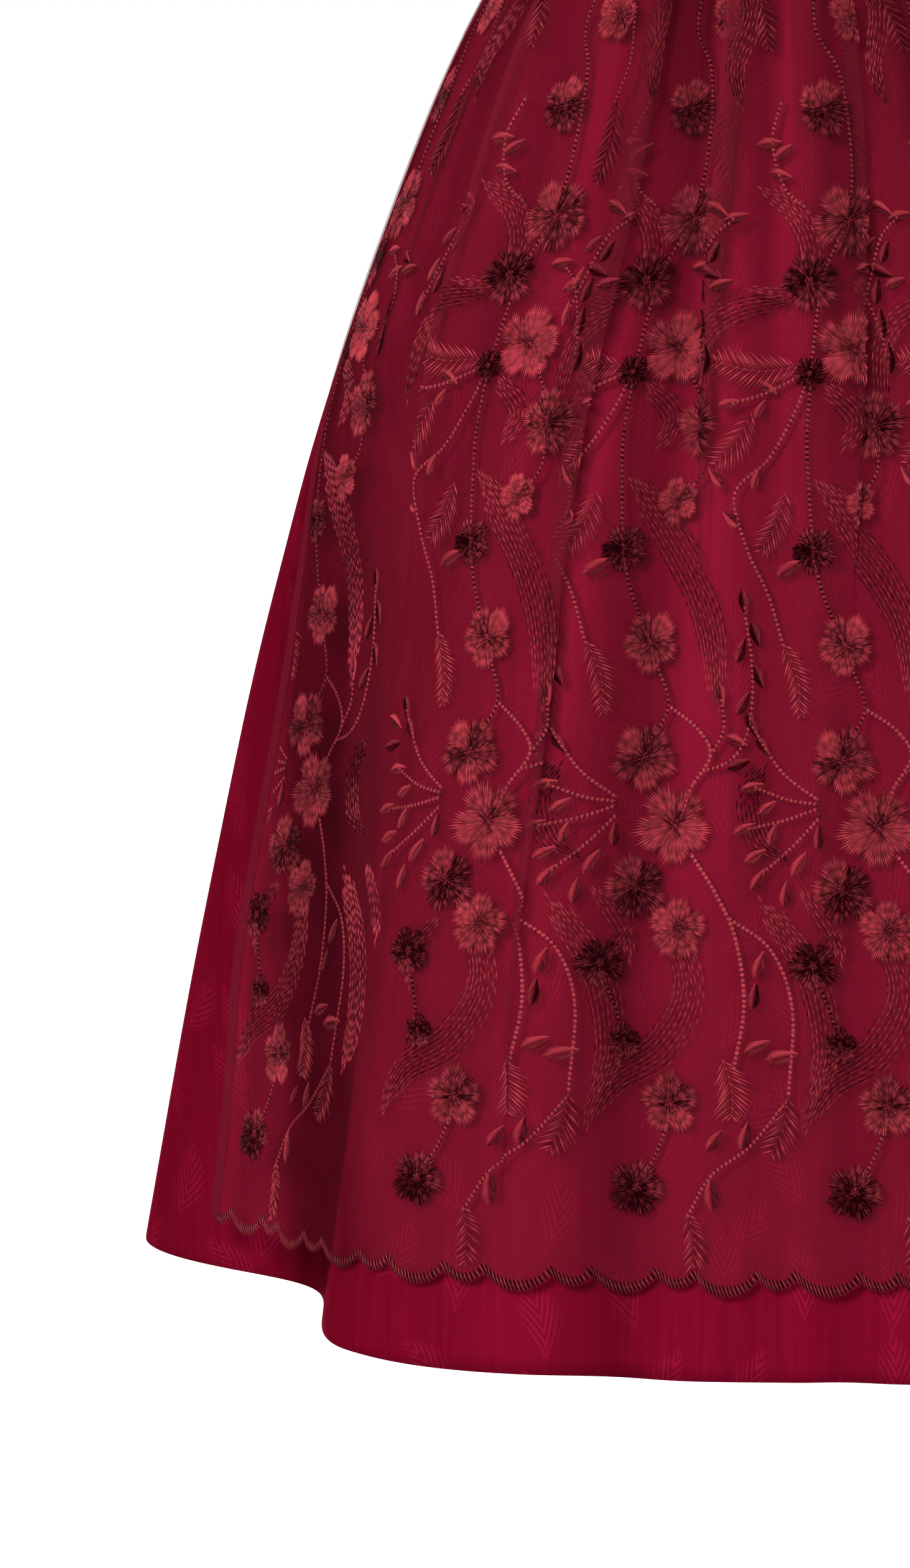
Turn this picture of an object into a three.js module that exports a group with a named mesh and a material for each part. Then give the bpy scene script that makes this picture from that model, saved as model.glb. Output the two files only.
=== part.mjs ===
// Dirndl dress: a gathered satin skirt, a fitted bodice and an embroidered tulle apron, worn form.
// Millimetres, +Z up. The origin is the middle of the waist seam and the wearer faces -Y.
// Angles run round the body in degrees from the centre front, growing towards -X.
import * as THREE from 'three';

// Driving sizes of the cloth
const SATIN = 1.2;
const TULLE = 1.0;
const SEAM_GAP = 0.3;
const SEAM_ANGLE = 0.07;
const BODICE_SEAM_ANGLE = 0.13;
const HEM_LEVEL = -675;

// Skirt: half widths and half depths of the smooth form at each level
const SKIRT_SECTIONS = [
  { level: 0, halfWidth: 125, halfDepth: 97 },
  { level: -56, halfWidth: 154.7, halfDepth: 122 },
  { level: -104, halfWidth: 175.5, halfDepth: 140 },
  { level: -189, halfWidth: 207.2, halfDepth: 168 },
  { level: -257, halfWidth: 229.3, halfDepth: 188 },
  { level: -313, halfWidth: 244.5, halfDepth: 203 },
  { level: -381, halfWidth: 261.5, halfDepth: 220 },
  { level: -467, halfWidth: 279.8, halfDepth: 238 },
  { level: -548, halfWidth: 296.2, halfDepth: 254 },
  { level: HEM_LEVEL, halfWidth: 319.7, halfDepth: 277 },
];

// Deep soft folds of the skirt: height at the hem, spread in degrees, level where the fold begins
const SKIRT_FOLDS = [
  { angle: 32, height: 15, spread: 21, start: -150 },
  { angle: 64, height: -58, spread: 23, start: -200 },
  { angle: -24, height: 12, spread: 18, start: -170 },
  { angle: -52, height: -46, spread: 19, start: -230 },
  { angle: -84, height: -16, spread: 12, start: -260 },
  { angle: 112, height: -40, spread: 17, start: -210 },
  { angle: 150, height: -34, spread: 15, start: -250 },
  { angle: 176, height: 12, spread: 12, start: -240 },
  { angle: -152, height: -44, spread: 18, start: -190 },
  { angle: -115, height: -30, spread: 15, start: -240 },
];
const GATHERS = 40;
const GATHER_DEPTH = 4.5;
const GATHER_FADE = 70;
const SKIRT_LEVELS = [-SEAM_GAP, -15, -50, -110, -200, -320, -450, -570, HEM_LEVEL];
const COLUMNS_PER_HALF = 80;

// Apron: half angle of the panel at each level, and the folds that run down from its gathers
const APRON_EDGES = [
  { level: 0, halfAngle: 86 },
  { level: -200, halfAngle: 85 },
  { level: -311, halfAngle: 77 },
  { level: -380, halfAngle: 74.5 },
  { level: -505, halfAngle: 74 },
  { level: -578, halfAngle: 71.5 },
  { level: -645, halfAngle: 70 },
];
const APRON_FOLDS = [
  { across: -0.8, spread: 0.07, height: 9, fade: 330 },
  { across: -0.6, spread: 0.09, height: 10, fade: 420 },
  { across: -0.38, spread: 0.08, height: 10, fade: 520 },
  { across: -0.17, spread: 0.07, height: 8, fade: 380 },
  { across: 0.06, spread: 0.06, height: 8, fade: 400 },
  { across: 0.3, spread: 0.08, height: 12, fade: 600 },
  { across: 0.62, spread: 0.07, height: 10, fade: 420 },
  { across: 0.8, spread: 0.06, height: 9, fade: 380 },
];
const APRON_STANDOFF = 3;
const APRON_TOP = -4.3;
const APRON_HEM_FRONT = -626;
const APRON_HEM_SIDE = -640;
const APRON_GATHERS = 22;
const APRON_GATHER_HEIGHT = 3;
const APRON_GATHER_FADE = 45;
const APRON_FOLD_START = 40;
const APRON_ROWS = [0, 0.05, 0.15, 0.3, 0.5, 0.72, 0.96, 1];
const APRON_BRIDGING = 0.3;
const EDGE_TURNING = 0.7;
const EDGE_COLUMNS = 1;
const SCALLOP_PAIRS = 14;
const SCALLOPS = [
  { share: 0.62, drop: 8, steps: 4 },
  { share: 0.38, drop: 5, steps: 3 },
];

// Apron band and ties round the waist
const BAND_BOTTOM = -4;
const BAND_TOP = 32;
const BAND_END_ANGLE = 88;
const TIE_END_ANGLE = 176;
const BAND_LIFT = 1.8;
const BAND_ROWS = 3;
const KNOT = { width: 30, depth: 14, height: 38, level: 17, bevel: 3 };
const LOOP = { length: 92, bulge: 17, narrow: 0.35, width: 34, sides: 12 };
const TAIL = {
  width: 38, offset: 20, slant: 36, length: 330, lift: 2.2, ripple: 3, waves: 5, rows: 10, columns: 4,
};

// Bodice: half widths and depths to the front and the back at each level
const BODICE_SECTIONS = [
  { level: 0, halfWidth: 125, front: 97, back: 97 },
  { level: 60, halfWidth: 127, front: 101, back: 96 },
  { level: 120, halfWidth: 135, front: 111, back: 101 },
  { level: 180, halfWidth: 144, front: 118, back: 107 },
  { level: 230, halfWidth: 147, front: 116, back: 109 },
  { level: 280, halfWidth: 142, front: 108, back: 106 },
  { level: 330, halfWidth: 134, front: 98, back: 100 },
];
const CUP = { angle: 35, level: 182, reach: 60, height: 17 };
const BODICE_TOP = [
  { angle: 0, level: 226 },
  { angle: 20, level: 231 },
  { angle: 33, level: 262 },
  { angle: 36, level: 268 },
  { angle: 54, level: 270 },
  { angle: 64, level: 240 },
  { angle: 76, level: 219 },
  { angle: 90, level: 213 },
  { angle: 104, level: 224 },
  { angle: 120, level: 276 },
  { angle: 126, level: 308 },
  { angle: 146, level: 314 },
  { angle: 156, level: 300 },
  { angle: 180, level: 294 },
];
const PRINCESS_ANGLE = 36;
const SIDE_BACK_ANGLE = 102;
const BODICE_ROWS = 6;
const COLUMN_ANGLE = 5;

// Straps over the shoulders
const STRAP = { frontFrom: 37, frontTo: 53, backFrom: 128, backTo: 145, seat: 0.9, columns: 4, rows: 12 };
const SHOULDER = { level: 402, across: 92, halfWidth: 19, fall: 10, run: 34, dip: 15 };
const CHEST = { level: 330, depth: 71 };

// Centre-front closure
const PLACKET = { halfAngle: 5.5, lift: 1.7, columns: 4 };
const BUTTON = { count: 6, radius: 6, height: 3.2, rim: 1.1, dish: 2.4, first: 52, pitch: 31, sides: 12 };

// Colours of the cloths
const CRIMSON = new THREE.MeshStandardMaterial({ color: 0x8f0f30, roughness: 0.45, metalness: 0 });
const WINE = new THREE.MeshStandardMaterial({ color: 0x7d2337, roughness: 0.7, metalness: 0 });
const BAND_SATIN = new THREE.MeshStandardMaterial({ color: 0x87102d, roughness: 0.4, metalness: 0 });
const METAL = new THREE.MeshStandardMaterial({ color: 0x6e1a2b, roughness: 0.4, metalness: 0.3 });

const group = new THREE.Group();
group.name = 'dirndl_dress';

const radians = THREE.MathUtils.degToRad;

// A smooth curve through a table's rows, sorted by the key, read at one value of the key
function readTable(table, key, name, value) {
  const rows = [...table].sort((one, other) => one[key] - other[key]);
  const last = rows.length - 1;
  const at = THREE.MathUtils.clamp(value, rows[0][key], rows[last][key]);
  let index = 0;
  while (index < last - 1 && at > rows[index + 1][key]) index += 1;
  const slope = (i) => {
    const low = rows[Math.max(0, i - 1)];
    const high = rows[Math.min(last, i + 1)];
    return (high[name] - low[name]) / (high[key] - low[key]);
  };
  const span = rows[index + 1][key] - rows[index][key];
  const t = (at - rows[index][key]) / span;
  const rise = t * t * (3 - 2 * t);
  const leave = t * (1 - t) * (1 - t) * span * slope(index);
  const arrive = t * t * (t - 1) * span * slope(index + 1);
  return rows[index][name] * (1 - rise) + rows[index + 1][name] * rise + leave + arrive;
}

// Straight lines between a table's rows, for outlines with corners
function readCorners(table, key, name, value) {
  let index = 0;
  while (index < table.length - 2 && value > table[index + 1][key]) index += 1;
  const low = table[index];
  const high = table[index + 1];
  const t = THREE.MathUtils.clamp((value - low[key]) / (high[key] - low[key]), 0, 1);
  return THREE.MathUtils.lerp(low[name], high[name], t);
}

function bump(x) {
  return Math.abs(x) < 1 ? Math.cos((Math.PI * x) / 2) ** 2 : 0;
}

function ovalRadius(angle, halfWidth, halfDepth) {
  const turn = radians(angle);
  return 1 / Math.hypot(Math.sin(turn) / halfWidth, Math.cos(turn) / halfDepth);
}

function onBody(angle, radius, level) {
  const turn = radians(angle);
  return new THREE.Vector3(-radius * Math.sin(turn), -radius * Math.cos(turn), level);
}

function angleBetween(one, other) {
  return ((one - other + 540) % 360) - 180;
}

// A cloth wall from a grid of outer points, rows downwards and columns towards larger angles
function wallGeometry(grid, thickness) {
  const rows = grid.length;
  const columns = grid[0].length;
  const normalAt = (r, c) => {
    const along = grid[r][Math.min(c + 1, columns - 1)].clone().sub(grid[r][Math.max(c - 1, 0)]);
    const down = grid[Math.min(r + 1, rows - 1)][c].clone().sub(grid[Math.max(r - 1, 0)][c]);
    return along.cross(down).normalize();
  };
  const outer = grid.flat();
  const inner = grid.flatMap((row, r) =>
    row.map((point, c) => point.clone().addScaledVector(normalAt(r, c), -thickness)));
  const at = (r, c) => r * columns + c;
  const faces = [];
  const quad = (a, b, c, d) => faces.push(a, b, c, a, c, d);
  const back = rows * columns;
  for (let r = 0; r < rows - 1; r += 1) {
    for (let c = 0; c < columns - 1; c += 1) {
      quad(at(r, c), at(r, c + 1), at(r + 1, c + 1), at(r + 1, c));
      quad(back + at(r, c), back + at(r + 1, c), back + at(r + 1, c + 1), back + at(r, c + 1));
    }
    quad(at(r, 0), at(r + 1, 0), back + at(r + 1, 0), back + at(r, 0));
    const end = columns - 1;
    quad(at(r + 1, end), at(r, end), back + at(r, end), back + at(r + 1, end));
  }
  const low = rows - 1;
  for (let c = 0; c < columns - 1; c += 1) {
    quad(at(0, c + 1), at(0, c), back + at(0, c), back + at(0, c + 1));
    quad(at(low, c), at(low, c + 1), back + at(low, c + 1), back + at(low, c));
  }
  const geometry = new THREE.BufferGeometry();
  const numbers = [...outer, ...inner].flatMap((point) => point.toArray());
  geometry.setAttribute('position', new THREE.Float32BufferAttribute(numbers, 3));
  geometry.setIndex(faces);
  geometry.computeVertexNormals();
  return geometry;
}

function addPiece(name, geometry, material) {
  const mesh = new THREE.Mesh(geometry, material);
  mesh.name = name;
  group.add(mesh);
  return mesh;
}

// Steps from one value to another, both ends included
function steps(from, to, count) {
  return Array.from({ length: count + 1 }, (_, i) => from + ((to - from) * i) / count);
}

// Skirt surface
function skirtBase(angle, level) {
  const halfWidth = readTable(SKIRT_SECTIONS, 'level', 'halfWidth', level);
  const halfDepth = readTable(SKIRT_SECTIONS, 'level', 'halfDepth', level);
  return ovalRadius(angle, halfWidth, halfDepth);
}

function skirtFolding(angle, level, valleyShare) {
  let sum = 0;
  for (const fold of SKIRT_FOLDS) {
    const t = THREE.MathUtils.clamp((fold.start - level) / (fold.start - HEM_LEVEL), 0, 1);
    const size = fold.height * (fold.height < 0 ? valleyShare : 1) * t * (2 - t);
    sum += size * bump(angleBetween(angle, fold.angle) / fold.spread);
  }
  return sum;
}

function skirtRadius(angle, level) {
  const gather = GATHER_DEPTH * Math.exp(level / GATHER_FADE);
  const wave = (1 + Math.cos(radians(angle * GATHERS))) / 2;
  return skirtBase(angle, level) + skirtFolding(angle, level, 1) - gather * wave;
}

function makeSkirt() {
  const halves = [
    { name: 'skirt_front', from: -90, to: 90 },
    { name: 'skirt_back', from: 90, to: 270 },
  ];
  for (const half of halves) {
    const angles = steps(half.from, half.to, COLUMNS_PER_HALF);
    angles[0] += SEAM_ANGLE;
    angles[COLUMNS_PER_HALF] -= SEAM_ANGLE;
    const grid = SKIRT_LEVELS.map((level) =>
      angles.map((angle) => onBody(angle, skirtRadius(angle, level), level)));
    addPiece(half.name, wallGeometry(grid, SATIN), CRIMSON);
  }
}

// Apron surface: across runs from -1 to 1 between its side edges, down from 0 to 1
function scallopColumns() {
  const columns = [];
  const pitch = 2 / SCALLOP_PAIRS;
  for (let pair = 0; pair < SCALLOP_PAIRS; pair += 1) {
    let start = -1 + pair * pitch;
    for (const scallop of SCALLOPS) {
      for (let step = 0; step < scallop.steps; step += 1) {
        const t = step / scallop.steps;
        const across = start + t * scallop.share * pitch;
        columns.push({ across, drop: scallop.drop * Math.sin(Math.PI * t) });
      }
      start += scallop.share * pitch;
    }
  }
  columns.push({ across: 1, drop: 0 });
  return columns;
}

function apronLift(across, level) {
  const depth = APRON_TOP - level;
  const gather = APRON_GATHER_HEIGHT * Math.exp(-depth / APRON_GATHER_FADE);
  let lift = (gather * (1 - Math.cos(Math.PI * APRON_GATHERS * across))) / 2;
  for (const fold of APRON_FOLDS) {
    const opening = Math.min(1, depth / APRON_FOLD_START);
    const fading = Math.max(0, 1 - depth / fold.fade);
    lift += fold.height * opening * fading * bump((across - fold.across) / fold.spread);
  }
  return lift;
}

function apronPoint(column, down, raised) {
  const side = Math.abs(column.across);
  const hem = THREE.MathUtils.lerp(APRON_HEM_FRONT, APRON_HEM_SIDE, side ** 3) - column.drop;
  const level = THREE.MathUtils.lerp(APRON_TOP, hem, down);
  const angle = column.across * readTable(APRON_EDGES, 'level', 'halfAngle', level);
  const cloth = skirtBase(angle, level) + skirtFolding(angle, level, APRON_BRIDGING);
  const radius = cloth + APRON_STANDOFF + apronLift(column.across, level) + raised;
  return onBody(angle, radius, level);
}

function makeApronPanel() {
  const columns = scallopColumns();
  const last = columns.length - 1;
  const turned = (c) => (c <= EDGE_COLUMNS || c >= last - EDGE_COLUMNS ? EDGE_TURNING : 0);
  const grid = APRON_ROWS.map((down) => columns.map((column, c) => apronPoint(column, down, turned(c))));
  addPiece('apron_panel', wallGeometry(grid, TULLE), WINE);
}

// Band and ties lie round the waist seam, over the skirt's top and the bodice's foot
function waistRadius(angle, level) {
  const height = Math.max(level, 0);
  const halfWidth = readTable(BODICE_SECTIONS, 'level', 'halfWidth', height);
  const front = readTable(BODICE_SECTIONS, 'level', 'front', height);
  const back = readTable(BODICE_SECTIONS, 'level', 'back', height);
  const flare = Math.max(0, skirtBase(angle, Math.min(level, 0)) - skirtBase(angle, 0));
  return ovalRadius(angle, halfWidth, Math.cos(radians(angle)) > 0 ? front : back) + flare;
}

function makeBandAndTies() {
  const levels = steps(BAND_TOP, BAND_BOTTOM, BAND_ROWS);
  const tieStart = BAND_END_ANGLE + 2 * SEAM_ANGLE;
  const stretches = [
    { name: 'apron_band', from: -BAND_END_ANGLE, to: BAND_END_ANGLE },
    { name: 'apron_tie_left', from: -TIE_END_ANGLE, to: -tieStart },
    { name: 'apron_tie_right', from: tieStart, to: TIE_END_ANGLE },
  ];
  for (const stretch of stretches) {
    const count = Math.round((stretch.to - stretch.from) / COLUMN_ANGLE);
    const grid = levels.map((level) => steps(stretch.from, stretch.to, count).map((angle) =>
      onBody(angle, waistRadius(angle, level) + BAND_LIFT, level)));
    addPiece(stretch.name, wallGeometry(grid, SATIN), BAND_SATIN);
  }
}

// A plain bow behind the waist: knot, two ribbon loops and two hanging tails
function makeKnot() {
  const outline = new THREE.Shape();
  outline.absellipse(0, 0, KNOT.width / 2, KNOT.depth / 2, 0, 2 * Math.PI, false, 0);
  const geometry = new THREE.ExtrudeGeometry(outline, {
    depth: KNOT.height - 2 * KNOT.bevel,
    bevelThickness: KNOT.bevel,
    bevelSize: KNOT.bevel,
    bevelOffset: -KNOT.bevel,
    bevelSegments: 2,
    curveSegments: 8,
  });
  const seat = waistRadius(180, KNOT.level) + BAND_LIFT + KNOT.depth / 2 + SEAM_GAP;
  const knot = addPiece('bow_knot', geometry, BAND_SATIN);
  knot.position.set(0, seat, KNOT.level - KNOT.height / 2 + KNOT.bevel);
  return seat;
}

function makeLoop(name, side, seat) {
  const ring = (inset) => {
    const start = KNOT.width / 2 + SEAM_GAP + inset;
    const end = KNOT.width / 2 + LOOP.length - inset;
    const bulge = LOOP.bulge - inset;
    return steps(0, 2 * Math.PI, LOOP.sides).slice(1).map((turn) => {
      const along = (1 - Math.cos(turn)) / 2;
      const spread = THREE.MathUtils.lerp(LOOP.narrow, 1, along);
      return new THREE.Vector2(start + (end - start) * along, Math.sin(turn) * bulge * spread);
    });
  };
  const outline = new THREE.Shape(ring(0));
  outline.holes.push(new THREE.Path(ring(SATIN).reverse()));
  const geometry = new THREE.ExtrudeGeometry(outline, { depth: LOOP.width, bevelEnabled: false });
  const loop = addPiece(name, geometry, BAND_SATIN);
  loop.position.set(0, seat, KNOT.level - LOOP.width / 2);
  if (side < 0) loop.rotation.z = Math.PI;
  return loop;
}

function makeTail(name, side) {
  const top = BAND_BOTTOM - SEAM_GAP;
  const grid = steps(0, 1, TAIL.rows).map((down) => {
    const level = top - down * TAIL.length;
    const middle = side * (TAIL.offset + down * TAIL.slant);
    return steps(-0.5, 0.5, TAIL.columns).map((across) => {
      const sine = (middle + across * TAIL.width) / skirtBase(180, level);
      const angle = 180 + THREE.MathUtils.radToDeg(Math.asin(sine));
      const drape = skirtBase(angle, level) + Math.max(0, skirtFolding(angle, level, 0));
      const ripple = TAIL.ripple * Math.sin(down * TAIL.waves) ** 2;
      return onBody(angle, drape + TAIL.lift + ripple, level);
    });
  });
  addPiece(name, wallGeometry(grid, SATIN), BAND_SATIN);
}

// Bodice surface
function bodiceRadius(angle, level) {
  const halfWidth = readTable(BODICE_SECTIONS, 'level', 'halfWidth', level);
  const front = readTable(BODICE_SECTIONS, 'level', 'front', level);
  const back = readTable(BODICE_SECTIONS, 'level', 'back', level);
  const oval = ovalRadius(angle, halfWidth, Math.cos(radians(angle)) > 0 ? front : back);
  const sideways = radians(Math.abs(angleBetween(angle, 0)) - CUP.angle) * oval;
  return oval + CUP.height * bump(Math.hypot(sideways, level - CUP.level) / CUP.reach);
}

function bodiceTop(angle) {
  return readCorners(BODICE_TOP, 'angle', 'level', Math.abs(angleBetween(angle, 0)));
}

function bodicePoint(angle, up, lift) {
  const level = THREE.MathUtils.lerp(0, bodiceTop(angle), up);
  return onBody(angle, bodiceRadius(angle, level) + lift, level);
}

function makeBodice() {
  const panels = [
    { name: 'bodice_front_right', from: 0, to: PRINCESS_ANGLE },
    { name: 'bodice_side_right', from: PRINCESS_ANGLE, to: SIDE_BACK_ANGLE },
    { name: 'bodice_back', from: SIDE_BACK_ANGLE, to: 360 - SIDE_BACK_ANGLE },
    { name: 'bodice_side_left', from: -SIDE_BACK_ANGLE, to: -PRINCESS_ANGLE },
    { name: 'bodice_front_left', from: -PRINCESS_ANGLE, to: 0 },
  ];
  for (const panel of panels) {
    const count = Math.round((panel.to - panel.from) / COLUMN_ANGLE);
    const angles = steps(panel.from + BODICE_SEAM_ANGLE, panel.to - BODICE_SEAM_ANGLE, count);
    const grid = steps(1, 0, BODICE_ROWS).map((up) => angles.map((angle) => bodicePoint(angle, up, 0)));
    addPiece(panel.name, wallGeometry(grid, SATIN), CRIMSON);
  }
}

// A strap joins the bodice's front and back tops over the shoulder
function makeStrap(name, side) {
  const columns = steps(0, 1, STRAP.columns).map((t) => {
    const frontAngle = THREE.MathUtils.lerp(STRAP.frontFrom, STRAP.frontTo, t);
    const backAngle = THREE.MathUtils.lerp(STRAP.backTo, STRAP.backFrom, t);
    const front = onBody(frontAngle, bodiceRadius(frontAngle, bodiceTop(frontAngle)), 0);
    front.z = bodiceTop(frontAngle) + STRAP.seat;
    const back = onBody(backAngle, bodiceRadius(backAngle, bodiceTop(backAngle)), 0);
    back.z = bodiceTop(backAngle) + STRAP.seat;
    const across = -(SHOULDER.across + (t - 0.5) * 2 * SHOULDER.halfWidth);
    const ridge = SHOULDER.level - SHOULDER.fall * t;
    return new THREE.CatmullRomCurve3([
      front,
      new THREE.Vector3((front.x + across) / 2, -CHEST.depth, CHEST.level),
      new THREE.Vector3(across, -SHOULDER.run, ridge - SHOULDER.dip),
      new THREE.Vector3(across, 0, ridge),
      new THREE.Vector3(across, SHOULDER.run, ridge - SHOULDER.dip),
      back,
    ], false, 'centripetal');
  });
  const grid = steps(1, 0, STRAP.rows).map((t) => {
    const row = columns.map((curve) => curve.getPoint(t));
    return side < 0 ? row : row.map((point) => point.setX(-point.x)).reverse();
  });
  addPiece(name, wallGeometry(grid, SATIN), CRIMSON);
}

// The placket strip covers the centre-front edges, and the buttons sit on it
function makeClosure() {
  const angles = steps(-PLACKET.halfAngle, PLACKET.halfAngle, PLACKET.columns);
  const grid = steps(1, 1 / BODICE_ROWS, BODICE_ROWS - 1).map((up) =>
    angles.map((angle) => bodicePoint(angle, up, PLACKET.lift)));
  addPiece('front_placket', wallGeometry(grid, SATIN), CRIMSON);

  const profile = [
    new THREE.Vector2(0, 0),
    new THREE.Vector2(BUTTON.radius - BUTTON.rim, 0),
    new THREE.Vector2(BUTTON.radius, BUTTON.rim),
    new THREE.Vector2(BUTTON.radius - BUTTON.rim / 2, BUTTON.height),
    new THREE.Vector2(BUTTON.radius - 2 * BUTTON.rim, BUTTON.dish),
    new THREE.Vector2(0, BUTTON.height),
  ];
  const rowHeight = bodiceTop(0) / BODICE_ROWS;
  for (let i = 0; i < BUTTON.count; i += 1) {
    const level = BUTTON.first + i * BUTTON.pitch;
    const low = Math.floor(level / rowHeight) * rowHeight;
    const lowRadius = bodiceRadius(0, low);
    const slope = (bodiceRadius(0, low + rowHeight) - lowRadius) / rowHeight;
    const reach = lowRadius + slope * (level - low) + PLACKET.lift + 2 * SEAM_GAP;
    const geometry = new THREE.LatheGeometry(profile, BUTTON.sides);
    geometry.rotateX(Math.PI);
    const button = addPiece(`button_${i + 1}`, geometry, METAL);
    button.position.set(0, -reach, level);
    button.rotation.x = Math.atan(slope);
  }
}

makeSkirt();
makeBodice();
makeStrap('strap_right', -1);
makeStrap('strap_left', 1);
makeClosure();
makeApronPanel();
makeBandAndTies();
const knotSeat = makeKnot();
makeLoop('bow_loop_left', 1, knotSeat);
makeLoop('bow_loop_right', -1, knotSeat);
makeTail('bow_tail_left', 1);
makeTail('bow_tail_right', -1);

export default group;
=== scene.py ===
"""Dirndl dress with an embroidered tulle apron: cloth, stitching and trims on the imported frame."""
import math

import bmesh
import bpy
import numpy as np
from bpy.props import FloatProperty, FloatVectorProperty, IntProperty, PointerProperty
from mathutils import Matrix, Vector


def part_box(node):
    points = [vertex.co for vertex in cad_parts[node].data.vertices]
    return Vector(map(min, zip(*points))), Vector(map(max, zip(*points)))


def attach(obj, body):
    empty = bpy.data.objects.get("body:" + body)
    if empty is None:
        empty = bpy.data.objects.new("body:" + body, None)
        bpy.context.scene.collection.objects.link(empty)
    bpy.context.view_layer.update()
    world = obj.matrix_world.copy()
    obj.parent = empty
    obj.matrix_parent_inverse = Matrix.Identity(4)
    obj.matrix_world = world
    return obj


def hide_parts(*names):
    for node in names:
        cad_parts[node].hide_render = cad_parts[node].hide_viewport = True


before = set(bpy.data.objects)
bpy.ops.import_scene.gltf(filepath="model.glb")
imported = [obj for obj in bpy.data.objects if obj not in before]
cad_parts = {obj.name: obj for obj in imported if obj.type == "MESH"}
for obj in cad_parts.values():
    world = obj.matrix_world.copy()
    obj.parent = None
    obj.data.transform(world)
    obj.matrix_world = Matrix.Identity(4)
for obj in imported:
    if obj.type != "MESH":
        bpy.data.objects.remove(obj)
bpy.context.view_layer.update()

bl_info = {
    "name": "Dirndl dress",
    "version": (1, 0, 0),
    "blender": (4, 5, 0),
    "location": "View3D > Sidebar > Dirndl",
    "description": "Satin dirndl dress with a gathered, embroidered tulle apron",
    "category": "Add Mesh",
}

MM = 0.001
BODY = "root"


def named_rows(names, *rows):
    """A table: one dict for each row, under the column names."""
    return [dict(zip(names.split(), row)) for row in rows]


# Cloth tables in millimetres and degrees. Angles run round the body from the centre front to -X.
HEM_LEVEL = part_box("skirt_front")[0][2] / MM
SKIRT_SECTIONS = named_rows(
    "level half_width half_depth",
    (0, 125, 97), (-56, 154.7, 122), (-104, 175.5, 140), (-189, 207.2, 168), (-257, 229.3, 188),
    (-313, 244.5, 203), (-381, 261.5, 220), (-467, 279.8, 238), (-548, 296.2, 254),
    (-675, 319.7, 277))
SKIRT_FOLDS = named_rows(
    "angle height spread start",
    (32, 15, 21, -150), (64, -58, 23, -200), (-24, 12, 18, -170), (-52, -46, 19, -230),
    (-84, -16, 12, -260), (112, -40, 17, -210), (150, -34, 15, -250), (176, 12, 12, -240),
    (-152, -44, 18, -190), (-115, -30, 15, -240))
SKIRT_FLAT = {"waist": 0.62, "hem": 1.02, "length": 0.69}
SKIRT_PANELS = named_rows(
    "node middle aside rests_on",
    ("skirt_front", 0, 0, "bodice_front_right"), ("skirt_back", 180, 0.7, "bodice_back"))
FULL_HEM = -675
SEAM_GAP = 0.01
CLOTH_STEP = 1.2
SEWN_HEIGHT = 5
GATHERS = {"count": 40, "sway": 0.9, "depth": 5.0, "fade": 62}
VALLEYS = {"count": 22, "sway": 1.4, "depth": 3.0, "fade": 230}
DRAPE = {"count": 13, "slant": 160, "depth": 1.6, "full": 400}

# Painted shade in the hollows: how far it lies aside of a fold, and shallow troughs of the front,
# dented into the cloth and also darkened in its colour
SHADOW = {"least_depth": 20, "full_depth": 50, "lead": 90, "growth": 1.8, "contrast": 1.7,
          "gathers": 0.6, "gather_fade": 420}
MIDDLE_LEVEL = -470
SATIN_HOLLOW = {"aside": 0.13, "drift": 0.035, "reach": 0.52}
NET_HOLLOW = {"aside": -0.22, "drift": 0.075, "reach": 0.50}
TROUGH = {"depth": 5, "fade": 300, "lean": 0.25}
SOFT_HOLLOWS = named_rows(
    "angle spread deep",
    (19.5, 8.5, 0.66), (-12, 5.0, 0.40), (-34, 5.0, 0.35))

# Apron: half angle at each level, and the pleats: place across, layer overlap and ridge height
APRON_EDGES = named_rows(
    "level half_angle",
    (0, 86), (-200, 85), (-311, 77), (-380, 74.5), (-505, 74), (-578, 71.5), (-645, 70))
APRON_PLEATS = named_rows(
    "across open overlap ridge spread fade turn",
    (-0.80, 300, 9, 5, 0.07, 330, 1), (-0.60, 360, 11, 6, 0.09, 420, -1),
    (-0.38, 460, 13, 7, 0.08, 520, 1), (-0.17, 330, 11, 6, 0.07, 380, -1),
    (0.06, 330, 15, 6, 0.06, 400, 1), (0.30, 640, 15, 8, 0.08, 600, -1),
    (0.62, 360, 8, 6, 0.07, 420, 1), (0.80, 340, 6, 4, 0.06, 380, -1))
APRON_HALF_WIDTH = 345
APRON_LENGTH = 640
APRON_STANDOFF = 5.4
APRON_TOP = -4.3
APRON_HEM_FRONT = -626
APRON_HEM_SIDE = -640
APRON_BRIDGING = 0.3
APRON_GATHERS = 22
SCALLOP_PAIRS = 14
SCALLOPS = named_rows("share drop", (0.62, 8), (0.38, 5))
PLEAT_TOP = {"held": 1.35, "opens": 25, "least": 0.55}
NET = {"pleat_shade": 0.30, "slope": 22, "layer": 3.2, "scalloped": 0.045, "gather": 2.1,
       "gather_fade": 110, "flutter": 1.1, "flutter_full": 300, "ridge_full": 40}
NET_SIDES = {"from": 0.55, "over": 0.3, "closer": 0.88, "follow_fade": 320}
EDGE_WIDTH = 8
EDGE_LIFT = 0.7
# Painted shade that darkens the whole of each turned edge of the net
EDGE_SHADE = 0.6
APRON_COLUMNS = 321
APRON_ROWS = 121

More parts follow.
